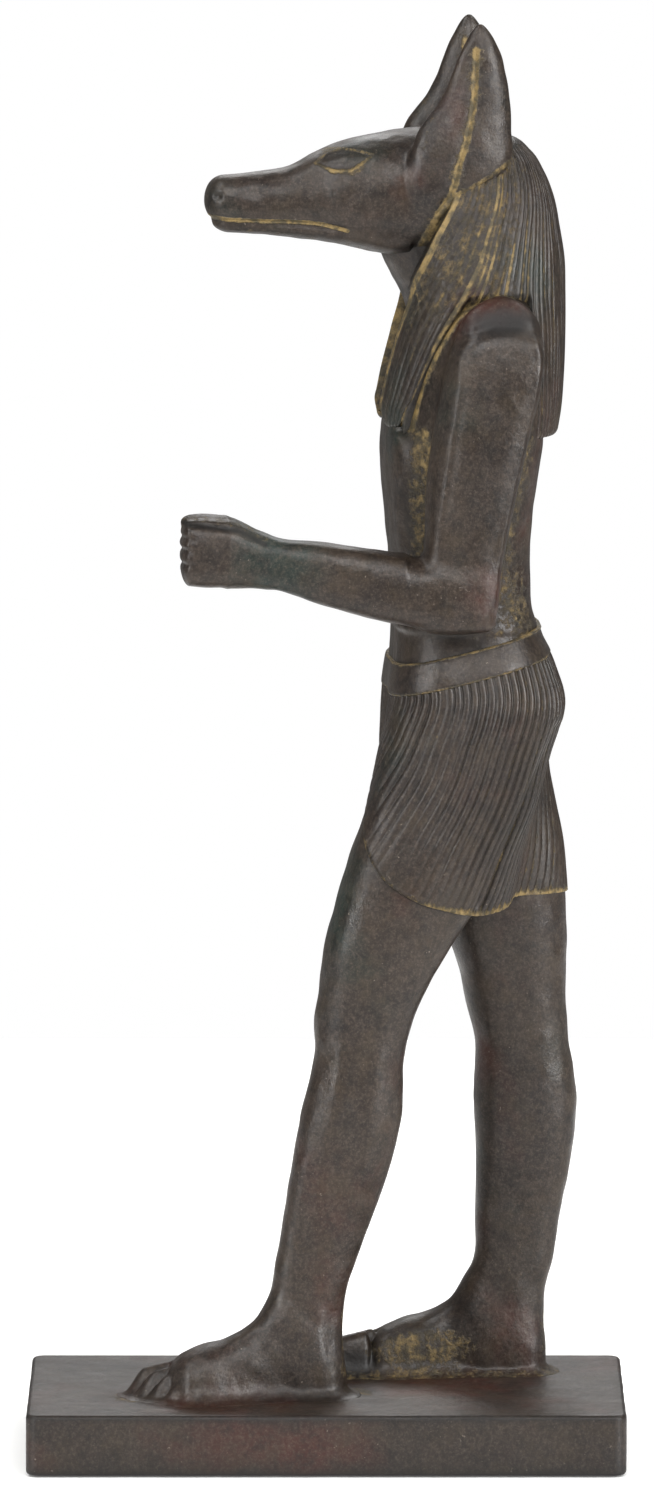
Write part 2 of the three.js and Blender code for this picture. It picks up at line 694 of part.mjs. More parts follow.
function statuette() {
  const stance = new THREE.Matrix4()
    .makeTranslation(FIGURE_SIDESTEP, FIGURE_SETBACK, PLINTH_HEIGHT)
    .multiply(new THREE.Matrix4().makeRotationZ(radians(FIGURE_TURN)));
  const forms = figureForms().map((geometry) => solid(geometry.applyMatrix4(stance)));
  const cast = forms.reduce((whole, piece) => whole.add(piece), solid(plinth()));
  // Hair-thin gaps shut in between two forms are filled: only the outer skin is kept.
  const skins = cast.decompose().sort((a, b) => b.volume() - a.volume());
  const mesh = skins[0].getMesh();
  const geometry = new THREE.BufferGeometry();
  geometry.setAttribute('position', new THREE.BufferAttribute(new Float32Array(mesh.vertProperties), 3));
  geometry.setIndex(new THREE.BufferAttribute(new Uint32Array(mesh.triVerts), 1));
  geometry.computeVertexNormals();
  return geometry;
}

const bronzeResin = new THREE.MeshStandardMaterial({ color: 0x3a322e, roughness: 0.5, metalness: 0.2 });
const object = new THREE.Group();
const statue = new THREE.Mesh(statuette(), bronzeResin);
statue.name = 'statuette';
object.add(statue);

export default object;
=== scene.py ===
# %% [markdown]
# # A jackal-headed statuette, cast in resin and finished to look like old bronze
#
# The real object is a souvenir-sized copy of a temple bronze: one solid casting of a striding man
# with a jackal's head, a long striped wig and a pleated kilt, on a flat plinth. This lesson
# dresses the plain CAD solid of the same statuette. The CAD part fixes every size, so the lesson
# keeps to its box and only adds what a caster's mould would carry: soft transitions, strands,
# pleats, an eye, toes, and the wax that stays in the hollows.

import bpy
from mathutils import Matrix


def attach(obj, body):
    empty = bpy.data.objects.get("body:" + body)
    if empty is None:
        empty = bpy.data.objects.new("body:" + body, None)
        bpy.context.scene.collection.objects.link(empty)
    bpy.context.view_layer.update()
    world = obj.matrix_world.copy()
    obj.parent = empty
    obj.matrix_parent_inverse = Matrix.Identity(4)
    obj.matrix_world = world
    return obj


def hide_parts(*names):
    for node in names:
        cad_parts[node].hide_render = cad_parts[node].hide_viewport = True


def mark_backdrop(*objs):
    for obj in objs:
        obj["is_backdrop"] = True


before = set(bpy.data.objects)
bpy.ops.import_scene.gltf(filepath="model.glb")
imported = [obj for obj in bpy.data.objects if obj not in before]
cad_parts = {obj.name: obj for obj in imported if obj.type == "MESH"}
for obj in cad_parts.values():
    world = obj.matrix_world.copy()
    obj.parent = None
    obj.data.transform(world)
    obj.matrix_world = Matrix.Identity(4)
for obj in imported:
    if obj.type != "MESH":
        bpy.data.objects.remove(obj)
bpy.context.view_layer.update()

# %% Tools from Blender and Python
import math

import bpy
import numpy as np
from mathutils import Matrix, Vector

MM = 0.001

# %% [markdown]
# ## The camera
#
# The camera comes first, because every later choice is judged through it. The statuette is seen
# from its left side with a long lens, a little from above, so the far edge of the plinth shows.
# The picture is tall, so the film is sized by its height.

# %% Aim the camera
EYE = Vector((1700, 0, 328)) * MM
TARGET = Vector((0, 0.1, 88.55)) * MM
LENS, FILM_HEIGHT, NEAREST = 328.9, 36, 0.05


def aim_camera():
    camera = bpy.data.objects.new("long_lens_camera", bpy.data.cameras.new("long_lens_camera"))
    camera.data.sensor_fit = "VERTICAL"
    camera.data.sensor_height = FILM_HEIGHT
    camera.data.lens = LENS
    camera.data.clip_start = NEAREST
    camera.location = EYE
    camera.rotation_euler = (TARGET - EYE).to_track_quat("-Z", "Y").to_euler()
    bpy.context.scene.collection.objects.link(camera)
    bpy.context.scene.camera = camera
    return camera


camera = aim_camera()
print("camera distance, mm:", round((TARGET - EYE).length / MM))

# %% [markdown]
# ## Sizes that the CAD part also uses
#
# The figure stands turned by a few degrees on its plinth. All of its forms are measured in the
# figure's own space: x towards its left hand, y towards its back, z up from its soles, in mm.
# One matrix takes that space to the scene, in metres.

# %% The plinth's sizes and the figure's stance
PLINTH_LENGTH = 75.2
PLINTH_WIDTH = 42.0
PLINTH_HEIGHT = 7.7
PLINTH_CORNER = 1.6
FIGURE_TURN = math.radians(5)
FIGURE_SETBACK = 16.5
FIGURE_SIDESTEP = -1.5

STANCE = (
    Matrix.Scale(MM, 4)
    @ Matrix.Translation((FIGURE_SIDESTEP, FIGURE_SETBACK, PLINTH_HEIGHT))
    @ Matrix.Rotation(FIGURE_TURN, 4, "Z")
)
print("the soles are", PLINTH_HEIGHT, "mm above the table")

# %% [markdown]
# ## Limbs as rows of measures
#
# A sculptor blocks out a limb by its front, back and width at a few heights. Each row here does
# the same: the place along the limb, its two edges, half its width and how far its middle lies
# to the side. A smooth curve runs through the rows, so a dozen of them describe a whole leg.

# %% A smooth curve through rows of numbers
def through(rows):
    """A function from a place to the values there, smooth through rows of (place, values...)."""
    rows = np.array(rows, float)
    places, values = rows[:, 0], rows[:, 1:]
    gaps = np.diff(places)[:, None]
    rises = np.diff(values, axis=0) / gaps
    inner = (rises[:-1] * gaps[1:] + rises[1:] * gaps[:-1]) / (gaps[1:] + gaps[:-1])
    slopes = np.vstack([rises[:1], inner, rises[-1:]])

    def at(place):
        place = np.clip(place, places[0], places[-1])
        i = np.clip(np.searchsorted(places, place, "right") - 1, 0, len(places) - 2)
        gap = gaps[i, 0]
        t = (place - places[i]) / gap
        found = []
        for column in range(values.shape[1]):
            a, b = values[i, column], values[i + 1, column]
            da, db = slopes[i, column] * gap, slopes[i + 1, column] * gap
            bend, twist = 3 * (b - a) - 2 * da - db, 2 * (a - b) + da + db
            found.append(a + t * (da + t * (bend + t * twist)))
        return found

    return at


# %% The rows of the legs, from the soles up: height, front, back, half width, middle
LEFT_LEG = [
    (-1, -22.4, -14.9, 2.9, 5.8),
    (6, -24.0, -15.1, 3.0, 5.8),
    (13, -24.0, -14.6, 2.9, 5.9),
    (20.4, -22.8, -12.1, 3.1, 6),
    (28.1, -21.6, -9.4, 4, 6.1),
    (35.6, -20.3, -7.6, 4.6, 6.2),
    (43.2, -18.5, -7.3, 4.5, 6.3),
    (49, -18.0, -5.7, 4.8, 6.3),
    (56.5, -17.4, -1.7, 5.6, 6.3),
    (62.3, -15.9, 2, 6.1, 6.3),
    (68.8, -14.0, 4.6, 6.4, 6.3),
    (74.3, -12.0, 7.6, 6.5, 6.3),
    (80.9, -9.9, 9.8, 6.5, 6.3),
    (86.9, -8.0, 11.0, 6.3, 6.2),
    (91.9, -6.8, 8.6, 5.2, 6),
    (97, -4, 6, 3.5, 5.5),
]
RIGHT_LEG = [
    (-1, 1.5, 11.6, 2.9, -8.2),
    (6, 0.0, 11.8, 3, -8.1),
    (10.8, 1.2, 12.0, 2.9, -8),
    (14.4, 2.8, 12.9, 2.9, -7.9),
    (20.2, 3.0, 13.8, 3.1, -7.8),
    (27.9, 3.1, 15.2, 4, -7.5),
    (35.5, 2.8, 15.8, 4.6, -7.3),
    (43.2, 2.9, 14.7, 4.5, -7),
    (48.9, 1.9, 14.3, 4.8, -6.8),
    (55.6, -0.3, 14.4, 5.6, -6.6),
    (62.2, -2.1, 14.1, 6.1, -6.4),
    (68.7, -4.2, 13.5, 6.4, -6.3),
    (74.2, -6, 12.4, 6.5, -6.3),
    (80.7, -7.4, 11.2, 6.5, -6.3),
    (86.7, -7.8, 11.2, 6.3, -6.2),
    (91.7, -6.8, 8.6, 5.2, -6),
    (97, -4, 6, 3.5, -5.5),
]
print("rows for the legs:", len(LEFT_LEG), len(RIGHT_LEG))

# %% The rows of the trunk and throat
TORSO = [
    (60.7, -6.5, 6, 8, 0),
    (72.8, -8.2, 8.6, 10.5, 0),
    (80.8, -9.0, 10.4, 12.2, 0),
    (84.8, -8.5, 11.9, 12.7, 0),
    (87.8, -8.3, 12.6, 12.9, 0),
    (91.8, -8.4, 11.6, 12.5, 0),
    (96.8, -8.3, 9.5, 11.6, 0),
    (103.8, -8.5, 8.8, 11, 0),
    (111.8, -9.2, 9.2, 12.1, 0),
    (119.8, -9.6, 10.3, 13.4, 0),
    (126.7, -8.5, 10.4, 14.2, 0),
    (132.7, -6.6, 10, 15, 0),
    (136.7, -4.2, 9.2, 14.4, 0),
    (140, -2.5, 8.4, 10, 0),
]
THROAT = [
    (124.0, -4.0, 5, 4.5, 0),
    (132.7, -6.2, 6, 5.4, 0),
    (136.7, -6.6, 6, 5.5, 0),
    (142.7, -9.4, 6, 5.9, 0),
    (146.6, -11, 6, 6.2, 0),
]

# %% The rows of the arms: the left one bends, the right one hangs
LEFT_UPPER_ARM = [
    (97.7, -5.4, 2.8, 3.2, 15.4),
    (104.6, -5.8, 3.5, 3.4, 15.3),
    (111, -5.6, 4.8, 3.6, 15.2),
    (116, -5.4, 5.8, 3.8, 15.1),
    (123.8, -4.3, 7.5, 4, 15),
    (128.7, -3.2, 8.7, 4, 14.9),
    (133.3, -1.8, 9.1, 3.9, 14.5),
    (139.3, -0.6, 8, 3.5, 13.7),
]
RIGHT_ARM = [
    (73.6, -2.9, 2.5, 3, -15.2),
    (78.6, -2.4, 2.4, 2.7, -15.3),
    (84.6, -2.6, 3.2, 3, -15.4),
    (92.5, -2.9, 4.6, 3.6, -15.4),
    (98.5, -2.5, 5.4, 3.5, -15.4),
    (103.5, -2.1, 6, 3.4, -15.4),
    (113.4, -2.6, 6.6, 3.7, -15.2),
    (121.4, -3, 7.6, 4, -15),
    (128.1, -2.8, 8.6, 4, -14.9),
    (132.7, -1.8, 9, 3.9, -14.5),
    (138.7, -0.6, 8, 3.5, -13.7),
]
LEFT_ARMPIT_WEB = [
    (100, -3.4, 1.5, 3, 12.2),
    (113.1, -3.4, 4, 3, 12.6),
    (130.1, -2.0, 6.5, 3, 13.2),
    (137, 0, 6, 2, 12.6),
]
RIGHT_ARMPIT_WEB = [
    (82.6, -1.4, 2.6, 2.4, -13.6),
    (103.5, -1.4, 4.4, 3, -12.8),
    (129.4, -2, 6.5, 3, -13.2),
    (137, 0, 6, 2, -12.6),
]
# Measured ahead of the body: distance ahead, underside, top, half width, middle
LEFT_FOREARM = [
    (-2.7, 98.1, 105.6, 3.2, 15.4),
    (3, 97.8, 106, 3.7, 15.4),
    (8.5, 98.6, 107.4, 3.8, 15.3),
    (13, 99.6, 108.1, 3.6, 15.1),
    (19.7, 101.6, 109, 3.1, 14.5),
    (22.8, 102.7, 109.2, 2.8, 14.2),
    (26, 103.3, 110.1, 2.8, 13.8),
    (30.4, 103.6, 111.8, 3.2, 13.4),
]

# %% The rows of the jackal's head, jaw and ears
HEAD = [
    (-5, 147.2, 156.4, 6.4, 0),
    (0, 143.8, 158.4, 8.3, 0),
    (5, 143.4, 159, 8.5, 0),
    (9.8, 143.8, 158.4, 8, 0),
    (13.8, 144.8, 157.6, 6.9, 0),
    (18.3, 146.0, 155.8, 5.1, 0),
    (21.1, 146.3, 154.4, 4.4, 0),
    (24.8, 146.6, 153.7, 3.9, 0),
    (31.8, 147.2, 153.2, 3.4, 0),
]
LOWER_JAW = [
    (6, 143.2, 150.2, 6.6, 0),
    (9.8, 143.5, 150, 6.4, 0),
    (13.8, 144.4, 150, 5.6, 0),
    (21.1, 145.5, 149.8, 3.9, 0),
    (28.6, 146.2, 149.6, 3.2, 0),
    (31.2, 146.5, 149.4, 3.0, 0),
]
EAR = [
    (148.6, -6, -1.6, 1, 7.4),
    (151.4, -6.8, 1.6, 1.9, 8),
    (153.4, -7, 4.3, 2.2, 8),
    (155.6, -6.9, 5.7, 2.4, 7.8),
    (159.3, -5.7, 5.8, 2.3, 7.5),
    (162.7, -3.2, 5.7, 2.1, 7.3),
    (167.5, -1.1, 4.9, 1.7, 7.2),
    (172.5, 0.4, 3.6, 1.2, 7.2),
]

# %% The rows of a foot, measured from its heel, and its toes
FOOT = [
    (0, -3.5, 6.0, 2.7, 0),
    (4, -4.0, 9.5, 3.2, 0),
    (9, -4.0, 12.4, 3.2, 0),
    (11.4, -4.0, 9.5, 3.4, 0.1),
    (13, -4.0, 8.4, 3.7, 0.2),
    (15, -3.8, 7.4, 3.9, 0.3),
    (18, -3.5, 6.6, 4.3, 0.4),
    (20.5, -3.0, 5.5, 4.3, 0.1),
    (22.8, -2.6, 4.3, 3.5, -0.5),
]
FOOT_LENGTH = {1: 26.4, -1: 28.4}
# Big toe to little toe: sideways place, how far it stops short, half width
TOES = [
    (-2.7, 0, 1.5),
    (-0.6, 0.9, 0.95),
    (1.1, 2.2, 0.9),
    (2.6, 3.9, 0.9),
    (4.0, 5.9, 0.85),
]
TOE_LENGTH = 6.5
TOE_TOP = {1: 4.5, -1: 5.6}
HEELS = {1: (5.8, -14.8), -1: (-8.2, 11.8)}
FOOT_TURN = math.radians(3)

# %% [markdown]
# ## From rows to a solid
#
# A figure cast in one piece has no seams: the arm grows out of the shoulder, the foot out of the
# plinth. Joining separate meshes leaves a hard line at each joint, so the figure is described as
# a *distance field* instead: a rule that says, for any point in space, how far it lies outside
# (or, below zero, inside) the body. Two fields blend softly by taking a rounded minimum.

# %% One form's distance field
FLATTEST_SLOPE = 0.08


def form(rows, square=2.2, start=0.6, end=0.6):
    """A function of (sideways, along, across) that is below zero inside the form.

    square runs from 2, an oval section, to 4, nearly a box; start and end are the lengths over
    which the form's two ends are rounded."""
    at = through(rows)
    first, last = rows[0][0], rows[-1][0]

    def distance(x, along, across):
        low, high, half, middle = at(along)
        depth = (high - low) / 2
        u = np.abs(x - middle) / half
        v = np.abs(across - (low + high) / 2) / depth
        side = (u**square + v**square) ** (1 / square) + 1e-4
        before, after = (first + start - along) / start, (along - last + end) / end
        past = np.maximum(np.maximum(before, after), 0)
        round_end = np.where(along < (first + last) / 2, start, end)
        whole = np.sqrt(side**2 + past**2)
        steep = ((u / side) ** (square - 1) / half) ** 2 + ((v / side) ** (square - 1) / depth) ** 2
        slope = np.sqrt(steep * (side / whole) ** 2 + (past / (whole * round_end)) ** 2)
        return (whole - 1) / np.maximum(slope, FLATTEST_SLOPE)

    return distance


def reach_of(rows):
    """The box that holds a form, as lowest and highest (sideways, along, across)."""
    rows = np.array(rows, float)
    sides = rows[:, 4, None] + rows[:, 3, None] * (-1, 1)
    low = (sides.min(), rows[0, 0], rows[:, 1].min())
    high = (sides.max(), rows[-1, 0], rows[:, 2].max())
    return np.array([low, high])


# %% Ways a form can lie in the figure
def upright(x, y, z):
    return x, z, y


def ahead(x, y, z):
    return x, -y, z


def along_foot(side):
    """Turns the figure's x, y, z into a foot's sideways, from-heel and height."""
    heel_x, heel_y = HEELS[side]
    c, s = math.cos(FOOT_TURN), math.sin(FOOT_TURN) * side

    def lie(x, y, z):
        dx, dy = x - heel_x, y - heel_y
        return side * (dx * c + dy * s), dx * s - dy * c, z

    return lie


# %% [markdown]
# ## Blocks of space to carve in
#
# The field is worked out on a grid of points. There are two blocks: a coarser one for the body
# and a finer one for the head, where a lid or a nostril is a few tenths of a millimetre wide.
# They meet under the jaw, where the casting has a crease anyway. Each form touches only the part
# of the grid around it, which keeps this quick.

# %% Soft joins, soft steps and soft lines
def soft_min(a, b, width):
    h = np.maximum(width - np.abs(a - b), 0) / width
    return np.minimum(a, b) - h * h * width / 4


def smooth_step(value, low, high):
    t = np.clip((value - low) / (high - low), 0, 1)
    return t * t * (3 - 2 * t)


def bump_at(x, y, z, centre, size):
    """1 at the centre, falling off like a bell; size is its half width along each axis."""
    return np.exp(-sum(((v - c) / s) ** 2 for v, c, s in zip((x, y, z), centre, size)))


def near_line(y, z, line, width):
    """1 on a line of (y, z) points drawn on the figure's side, falling off like a bell."""
    nearest = 1e3
    for (ay, az), (by, bz) in zip(line[:-1], line[1:]):
        dy, dz = by - ay, bz - az
        share = np.clip(((y - ay) * dy + (z - az) * dz) / (dy * dy + dz * dz), 0, 1)
        nearest = np.minimum(nearest, np.hypot(y - ay - share * dy, z - az - share * dz))
    return np.exp(-((nearest / width) ** 2))


# %% A block, with ways to add a form and to press a detail in
FAR = 9.0
WIDEST = PLINTH_WIDTH / 2


class Block:
    """A grid of points that holds the distance to the surface at each of them, in mm."""

    def __init__(self, low, high, cell):
        self.grids = [np.arange(a, b, cell, dtype=np.float32) for a, b in zip(low, high)]
        self.field = np.full([len(grid) for grid in self.grids], FAR, np.float32)

    def window(self, low, high, margin=2.5):
        """The slices of the grid that cover a box, and the coordinates there."""
        slices, axes = [], []
        for axis, grid in enumerate(self.grids):
            a = int(np.searchsorted(grid, low[axis] - margin))
            b = int(np.searchsorted(grid, high[axis] + margin))
            slices.append(slice(a, b))
            shape = [1, 1, 1]
            shape[axis] = b - a
            axes.append(grid[a:b].reshape(shape))
        return tuple(slices), axes

    def join(self, where, other, width):
        self.field[where] = soft_min(self.field[where], other, width)

    def add(self, rows, lie, width=1.2, **shape):
        """Blends a form in; width is how softly, in mm."""
        low, high = reach_of(rows)
        if lie is upright:
            low, high = low[[0, 2, 1]], high[[0, 2, 1]]
        else:
            low[1], high[1] = -high[1], -low[1]
        where, axes = self.window(low, high)
        self.join(where, form(rows, **shape)(*lie(*axes)), width)

    def press(self, low, high, depth):
        """Moves the surface inwards by depth(x, y, z) in a box; a negative depth raises it."""
        where, (x, y, z) = self.window(low, high, 0)
        self.field[where] += depth(x, y, z)

    def draw(self, side, line, width, depth, least_x):
        """Presses a line of (y, z) points into one side, beyond least_x from the middle."""
        y0, z0 = np.min(line, axis=0) - 3 * width
        y1, z1 = np.max(line, axis=0) + 3 * width
        x0, x1 = sorted((side * least_x, side * WIDEST))

        def groove(x, y, z):
            on_side = smooth_step(side * x, least_x, least_x + 1)
            return depth * near_line(y, z, line, width) * on_side

        self.press((x0, y0, z0), (x1, y1, z1), groove)


# %% The two blocks: lowest corner, highest corner and the distance between points
CELL_BODY, CELL_HEAD = ((0.26, 0.15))
body = Block((-19.8, -44.54, -0.9), (20.0, 17.4, 147.6), CELL_BODY)
head = Block((-11.4, -33.6, 141.5), (11.4, 8.4, 173.6), CELL_HEAD)
print("grid points:", body.field.size, "and", head.field.size)

# %% The trunk, legs and throat
TRUNK_SQUARE, LEG_SQUARE = 2.8, 2.5
body.add(TORSO[2:], upright, square=TRUNK_SQUARE, start=7)
body.add(LEFT_LEG, upright, 2.5, square=LEG_SQUARE)
body.add(RIGHT_LEG, upright, 2.5, square=LEG_SQUARE)
body.add(THROAT, upright, 2.0)
print("solid so far, cm3:", round(float((body.field < 0).sum()) * CELL_BODY**3 / 1000, 1))

# %% The arms
body.add(LEFT_ARMPIT_WEB, upright, 2.0, square=3)
body.add(RIGHT_ARMPIT_WEB, upright, 2.0, square=3)
body.add(LEFT_UPPER_ARM, upright, 0.8, square=4.2, start=1.0, end=4)
body.add(LEFT_FOREARM, ahead, 1.6, square=3.2, start=1.2)
body.add(RIGHT_ARM, upright, 0.8, square=4.2, end=4)
print("with the arms, cm3:", round(float((body.field < 0).sum()) * CELL_BODY**3 / 1000, 1))

# %% [markdown]
# ## The shield on the upper arm
#
# The outside of the upper arm is a flat shield: its rounded top stands out below the shoulder cap,
# and its front and rear edges are ridges that catch the light. A shallow hollow parts it from the
# cap. It is too low to be a form of its own, so it is pressed into the field and drawn on it.

# %% The shield on each upper arm
ARM_FRONT_EDGE = [
    (-1.4, 131.5), (-1.5, 127.9), (-1.8, 125.5), (-2.4, 121.7), (-3.0, 117.3), (-3.9, 111.7)
]
ARM_REAR_EDGE = [
    (8.0, 134.5), (8.6, 131.5), (8.2, 127.8), (7.1, 122.8), (5.6, 116.6), (3.8, 108.5), (2.9, 101)
]
SHIELD_TOP = 135.2
SLANT_DEPTH = 0.8


def shoulder_hollow(side):
    def depth(x, y, z):
        top = SHIELD_TOP - 0.05 * (y - 4.2) ** 2
        groove, step = np.exp(-(((z - top) / 1.1) ** 2)), smooth_step(z, top - 0.7, top + 0.9)
        return (0.35 * groove + 0.85 * step) * smooth_step(side * x, 15.0, 17.0)

    return depth


def slanted_front(side):
    """In front of its front ridge the arm falls away, more the further forward."""
    heights, places = np.array(ARM_FRONT_EDGE)[::-1, 1], np.array(ARM_FRONT_EDGE)[::-1, 0]

    def depth(x, y, z):
        ahead_of_ridge = np.interp(z, heights, places) - y
        on_side, on_height = smooth_step(side * x, 15.5, 18.5), smooth_step(z, 103, 110)
        return SLANT_DEPTH * smooth_step(ahead_of_ridge, 0.2, 2.4) * on_side * on_height

    return depth


for side in (1, -1):
    low, high = sorted((side * 15, side * WIDEST))
    body.press((low, -8, 103), (high, 2, 137), slanted_front(side))
    body.press((low, -6, 126), (high, 12, 142), shoulder_hollow(side))
    body.draw(side, ARM_FRONT_EDGE, 0.8, -0.26, 16)
    body.draw(side, ARM_REAR_EDGE, 0.6, -0.3, 16)
print("the shields' tops are", SHIELD_TOP, "mm above the soles")

# %% The gutter behind each lappet and down the side of the chest
LAPPET_EDGE = [
    (0.6, 138.2), (-1.4, 136.4), (-3.6, 132.8), (-5.1, 129.4), (-6.2, 125.7), (-6.8, 122.5)
]
CHEST_GUTTER = [(-5.4, 121), (-5.6, 114), (-5.2, 107), (-4.6, 101)]
CHEST_RIDGE = [(-8.3, 121), (-8.5, 114), (-8.2, 107), (-7.8, 102)]
# Each with its width and depth; the ridge is raised, so its depth is below zero
CHEST_LINES = [(LAPPET_EDGE, 1.8, 1.5), (CHEST_GUTTER, 1.5, 0.45), (CHEST_RIDGE, 0.8, -0.3)]


def beside_chest(line, width, depth, side):
    def press(x, y, z):
        within = smooth_step(side * x, 5.5, 7.5) * (1 - smooth_step(side * x, 12.5, 15))
        return depth * near_line(y, z, line, width) * within

    return press


for side in (1, -1):
    low, high = sorted((side * 5, side * 15.5))
    for line, width, depth in CHEST_LINES:
        body.press((low, -13, 97), (high, 6, 143), beside_chest(line, width, depth, side))
print("lines down each side of the chest:", len(CHEST_LINES))

# %% [markdown]
# ## Fists
#
# Both hands are closed, as on a figure that once held a staff. From outside a fist is a flat slab:
# the fingers show only as notches in its front edge, and the thumb lies along the top as a paler
# strip with a line under it; on the left fist the strip's paleness is a painted highlight, and the
# line also gets a painted shadow. On the inner side the fingers curl back into the palm.

# %% The rows of a hand, from the wrist to the knuckles: its lower and upper edge and half its width
LEFT_WRIST = [
    (-4.4, -4.4, 1.2, 2.4, 0.45),
    (-2.0, -4.2, 2.1, 2.85, 0.3),
    (-0.3, -4.2, 2.9, 3.2, 0.15),
]
RIGHT_WRIST = [
    (-4.4, -2.0, 2.3, 2.3, 0.3),
    (-2.0, -2.6, 2.5, 2.7, 0.2),
    (-0.3, -3.4, 2.9, 3.1, 0.1),
]
KNUCKLES = [
    (1.0, -4.25, 3.6, 3.5, 0),
    (2.4, -4.35, 4.1, 3.6, 0),
    (5.5, -4.3, 4.3, 3.6, 0),
    (7.75, -4.0, 4.1, 3.4, 0),
]
THUMB = [
    (-2.0, 0.8, 2.5, 1.5, -0.3),
    (1.0, 2.2, 4.1, 1.6, -0.6),
    (4, 2.8, 4.65, 1.6, -0.7),
    (7.6, 2.9, 4.5, 1.4, -0.6),
]
THUMB_LINE = [(-2.7, 1.2), (-0.9, 2.1), (0.8, 3.0), (7.4, 3.9)]
BETWEEN_FINGERS = [1.95, 0.5, -1.3]

# %% The fists
# To the side, ahead and up to the left hand's middle; to the side, up and back to the right one's
LEFT_FIST = (13.3, 28.2, 107.7)
RIGHT_FIST = (-15.0, 75.2, 0.2)


def fist(wrist, lie, low, high):
    """lie turns the figure's x, y, z into outwards, towards the knuckles and towards the thumb."""
    where, axes = body.window(low, high, 1.5)
    across, on, up = lie(*axes)
    hand = form(wrist + KNUCKLES, 3.4, 1.5, 1.0)(across, on, up)
    hand = soft_min(hand, form(THUMB, 2.4, 1.5, 1.2)(across, on, up), 0.3)
    reach_back = np.where(across > 0, 5.6, 1.0)
    for gap in BETWEEN_FINGERS:
        notch = np.exp(-(((up - gap) / 0.3) ** 2))
        hand = hand + 0.34 * notch * smooth_step(on, reach_back, reach_back + 1.6)
    hand = hand + 0.4 * near_line(on, up, THUMB_LINE, 0.3) * smooth_step(across, 1.5, 2.5)
    body.join(where, hand, 1.0)


left_x, left_ahead, left_z = LEFT_FIST
fist(
    LEFT_WRIST,
    lambda x, y, z: (x - left_x, -y - left_ahead, z - left_z),
    (left_x - 4, -37, left_z - 5),
    (left_x + 4, -25, left_z + 5.5),
)
right_x, right_z, right_y = RIGHT_FIST
fist(
    RIGHT_WRIST,
    lambda x, y, z: (right_x - x, right_z - z, right_y - y),
    (right_x - 4, right_y - 5.5, right_z - 9),
    (right_x + 4, right_y + 5, right_z + 3),
)
print("fingers on each fist:", len(BETWEEN_FINGERS) + 1)

# %% [markdown]
# ## Feet
#
# The feet are bare and stand flat. Each foot is one wedge from heel to ball, with five toes laid
# on its front. The toes blend only a little, so a crease stays between them.

# %% The feet and toes
def foot(side):
    lie = along_foot(side)
    heel_x, heel_y = HEELS[side]
    where, axes = body.window((heel_x - 6, heel_y - 29.5, -0.9), (heel_x + 6, heel_y + 1, 14))
    out, on, up = lie(*axes)
    shape = form(FOOT, 2.6, 2.0, 2.6)(out, on, up)
    top = TOE_TOP[side]
    for place, short, half in TOES:
        tip = FOOT_LENGTH[side] - short
        rows = [
            (tip - TOE_LENGTH, -1.5, top + 0.2 - 0.08 * short, half, place * 0.86),
            (tip - 3.4, -1.5, top - 0.5 - 0.2 * short, half, place * 0.94),
            (tip - 1.9, -1.5, top - 0.9 - 0.22 * short, half * 1.04, place),
            (tip, -1.5, top - 1.7 - 0.2 * short, half * 0.95, place),
        ]
        shape = soft_min(shape, form(rows, 2.2, 1.0, 1.6)(out, on, up), 0.35)
    return where, shape


FEET = {side: foot(side) for side in HEELS}
for where, shape in FEET.values():
    body.join(where, shape, 1.6)
print("the heels stand at", HEELS)

# %% [markdown]
# ## Ankles, shins and knees
#
# Bones and tendons show as soft ridges and hollows a few tenths of a millimetre high. Each is a
# line on the outer side of its leg, or a single rounded spot, pressed in or raised. The lines are
# given as (back, up) points for the left leg (1) and the right leg (-1).

# %% Lines on the ankles and shins: width, depth, least distance from the middle, points
ANKLE_REACH = {side: side * HEELS[side][0] + 0.8 for side in HEELS}
SHIN_REACH = {1: 8.4, -1: 8.8}
SHIN_GROOVE_REACH = {1: 7.8, -1: 8.2}
LEG_LINES = {
    "heel tendon": (0.9, 0.16, ANKLE_REACH, {
        1: [(-16.6, 10.5), (-16.9, 7.8), (-16.9, 6.5), (-16.3, 4.0)],
        -1: [(10.0, 13.5), (9.6, 10.5), (9.6, 8.0), (10.3, 5.0)],
    }),
    "ankle bone": (1.2, -0.15, ANKLE_REACH, {
        1: [(-18.6, 11), (-18.1, 8), (-17.8, 5)],
        -1: [(7.6, 13), (8.0, 10), (8.4, 6)],
    }),
    "instep": (1.2, -0.2, ANKLE_REACH, {
        1: [(-22.2, 11.5), (-23.9, 8.6), (-25, 6.9), (-26.6, 4.8)],
        -1: [(4.2, 12), (2.4, 9.2), (1, 7.2), (-1, 5.2)],
    }),
    "shin groove": (0.9, 0.16, SHIN_GROOVE_REACH, {
        1: [(-17.2, 43.5), (-17.8, 39), (-18.1, 35.5), (-18.7, 31.3), (-19.6, 25.6), (-20.4, 20)],
        -1: [(3.4, 43.5), (3.6, 38), (3.7, 32), (3.7, 25), (3.6, 20)],
    }),
    "shin face": (1.6, -0.2, SHIN_REACH, {
        1: [(-15.9, 43), (-16.3, 39), (-17.4, 35.2), (-18, 31.4)],
        -1: [(4.9, 43), (5.0, 38), (5.1, 33)],
    }),
    "calf edge": (1.2, -0.18, SHIN_REACH, {
        1: [(-10.8, 43), (-11.5, 38.4), (-11.9, 33), (-12.6, 28)],
        -1: [(9.2, 43), (9.4, 38), (9.8, 32)],
    }),
}
for width, depth, reach, points in LEG_LINES.values():
    for side in (1, -1):
        body.draw(side, points[side], width, depth, reach[side])
print("lines on each leg:", ", ".join(LEG_LINES))

# %% Inner ankle bones and kneecaps
def dent(block, low, high, depth, centre, size):
    """Presses one rounded spot into a block; a negative depth raises it."""
    block.press(low, high, lambda x, y, z: depth * bump_at(x, y, z, centre, size))


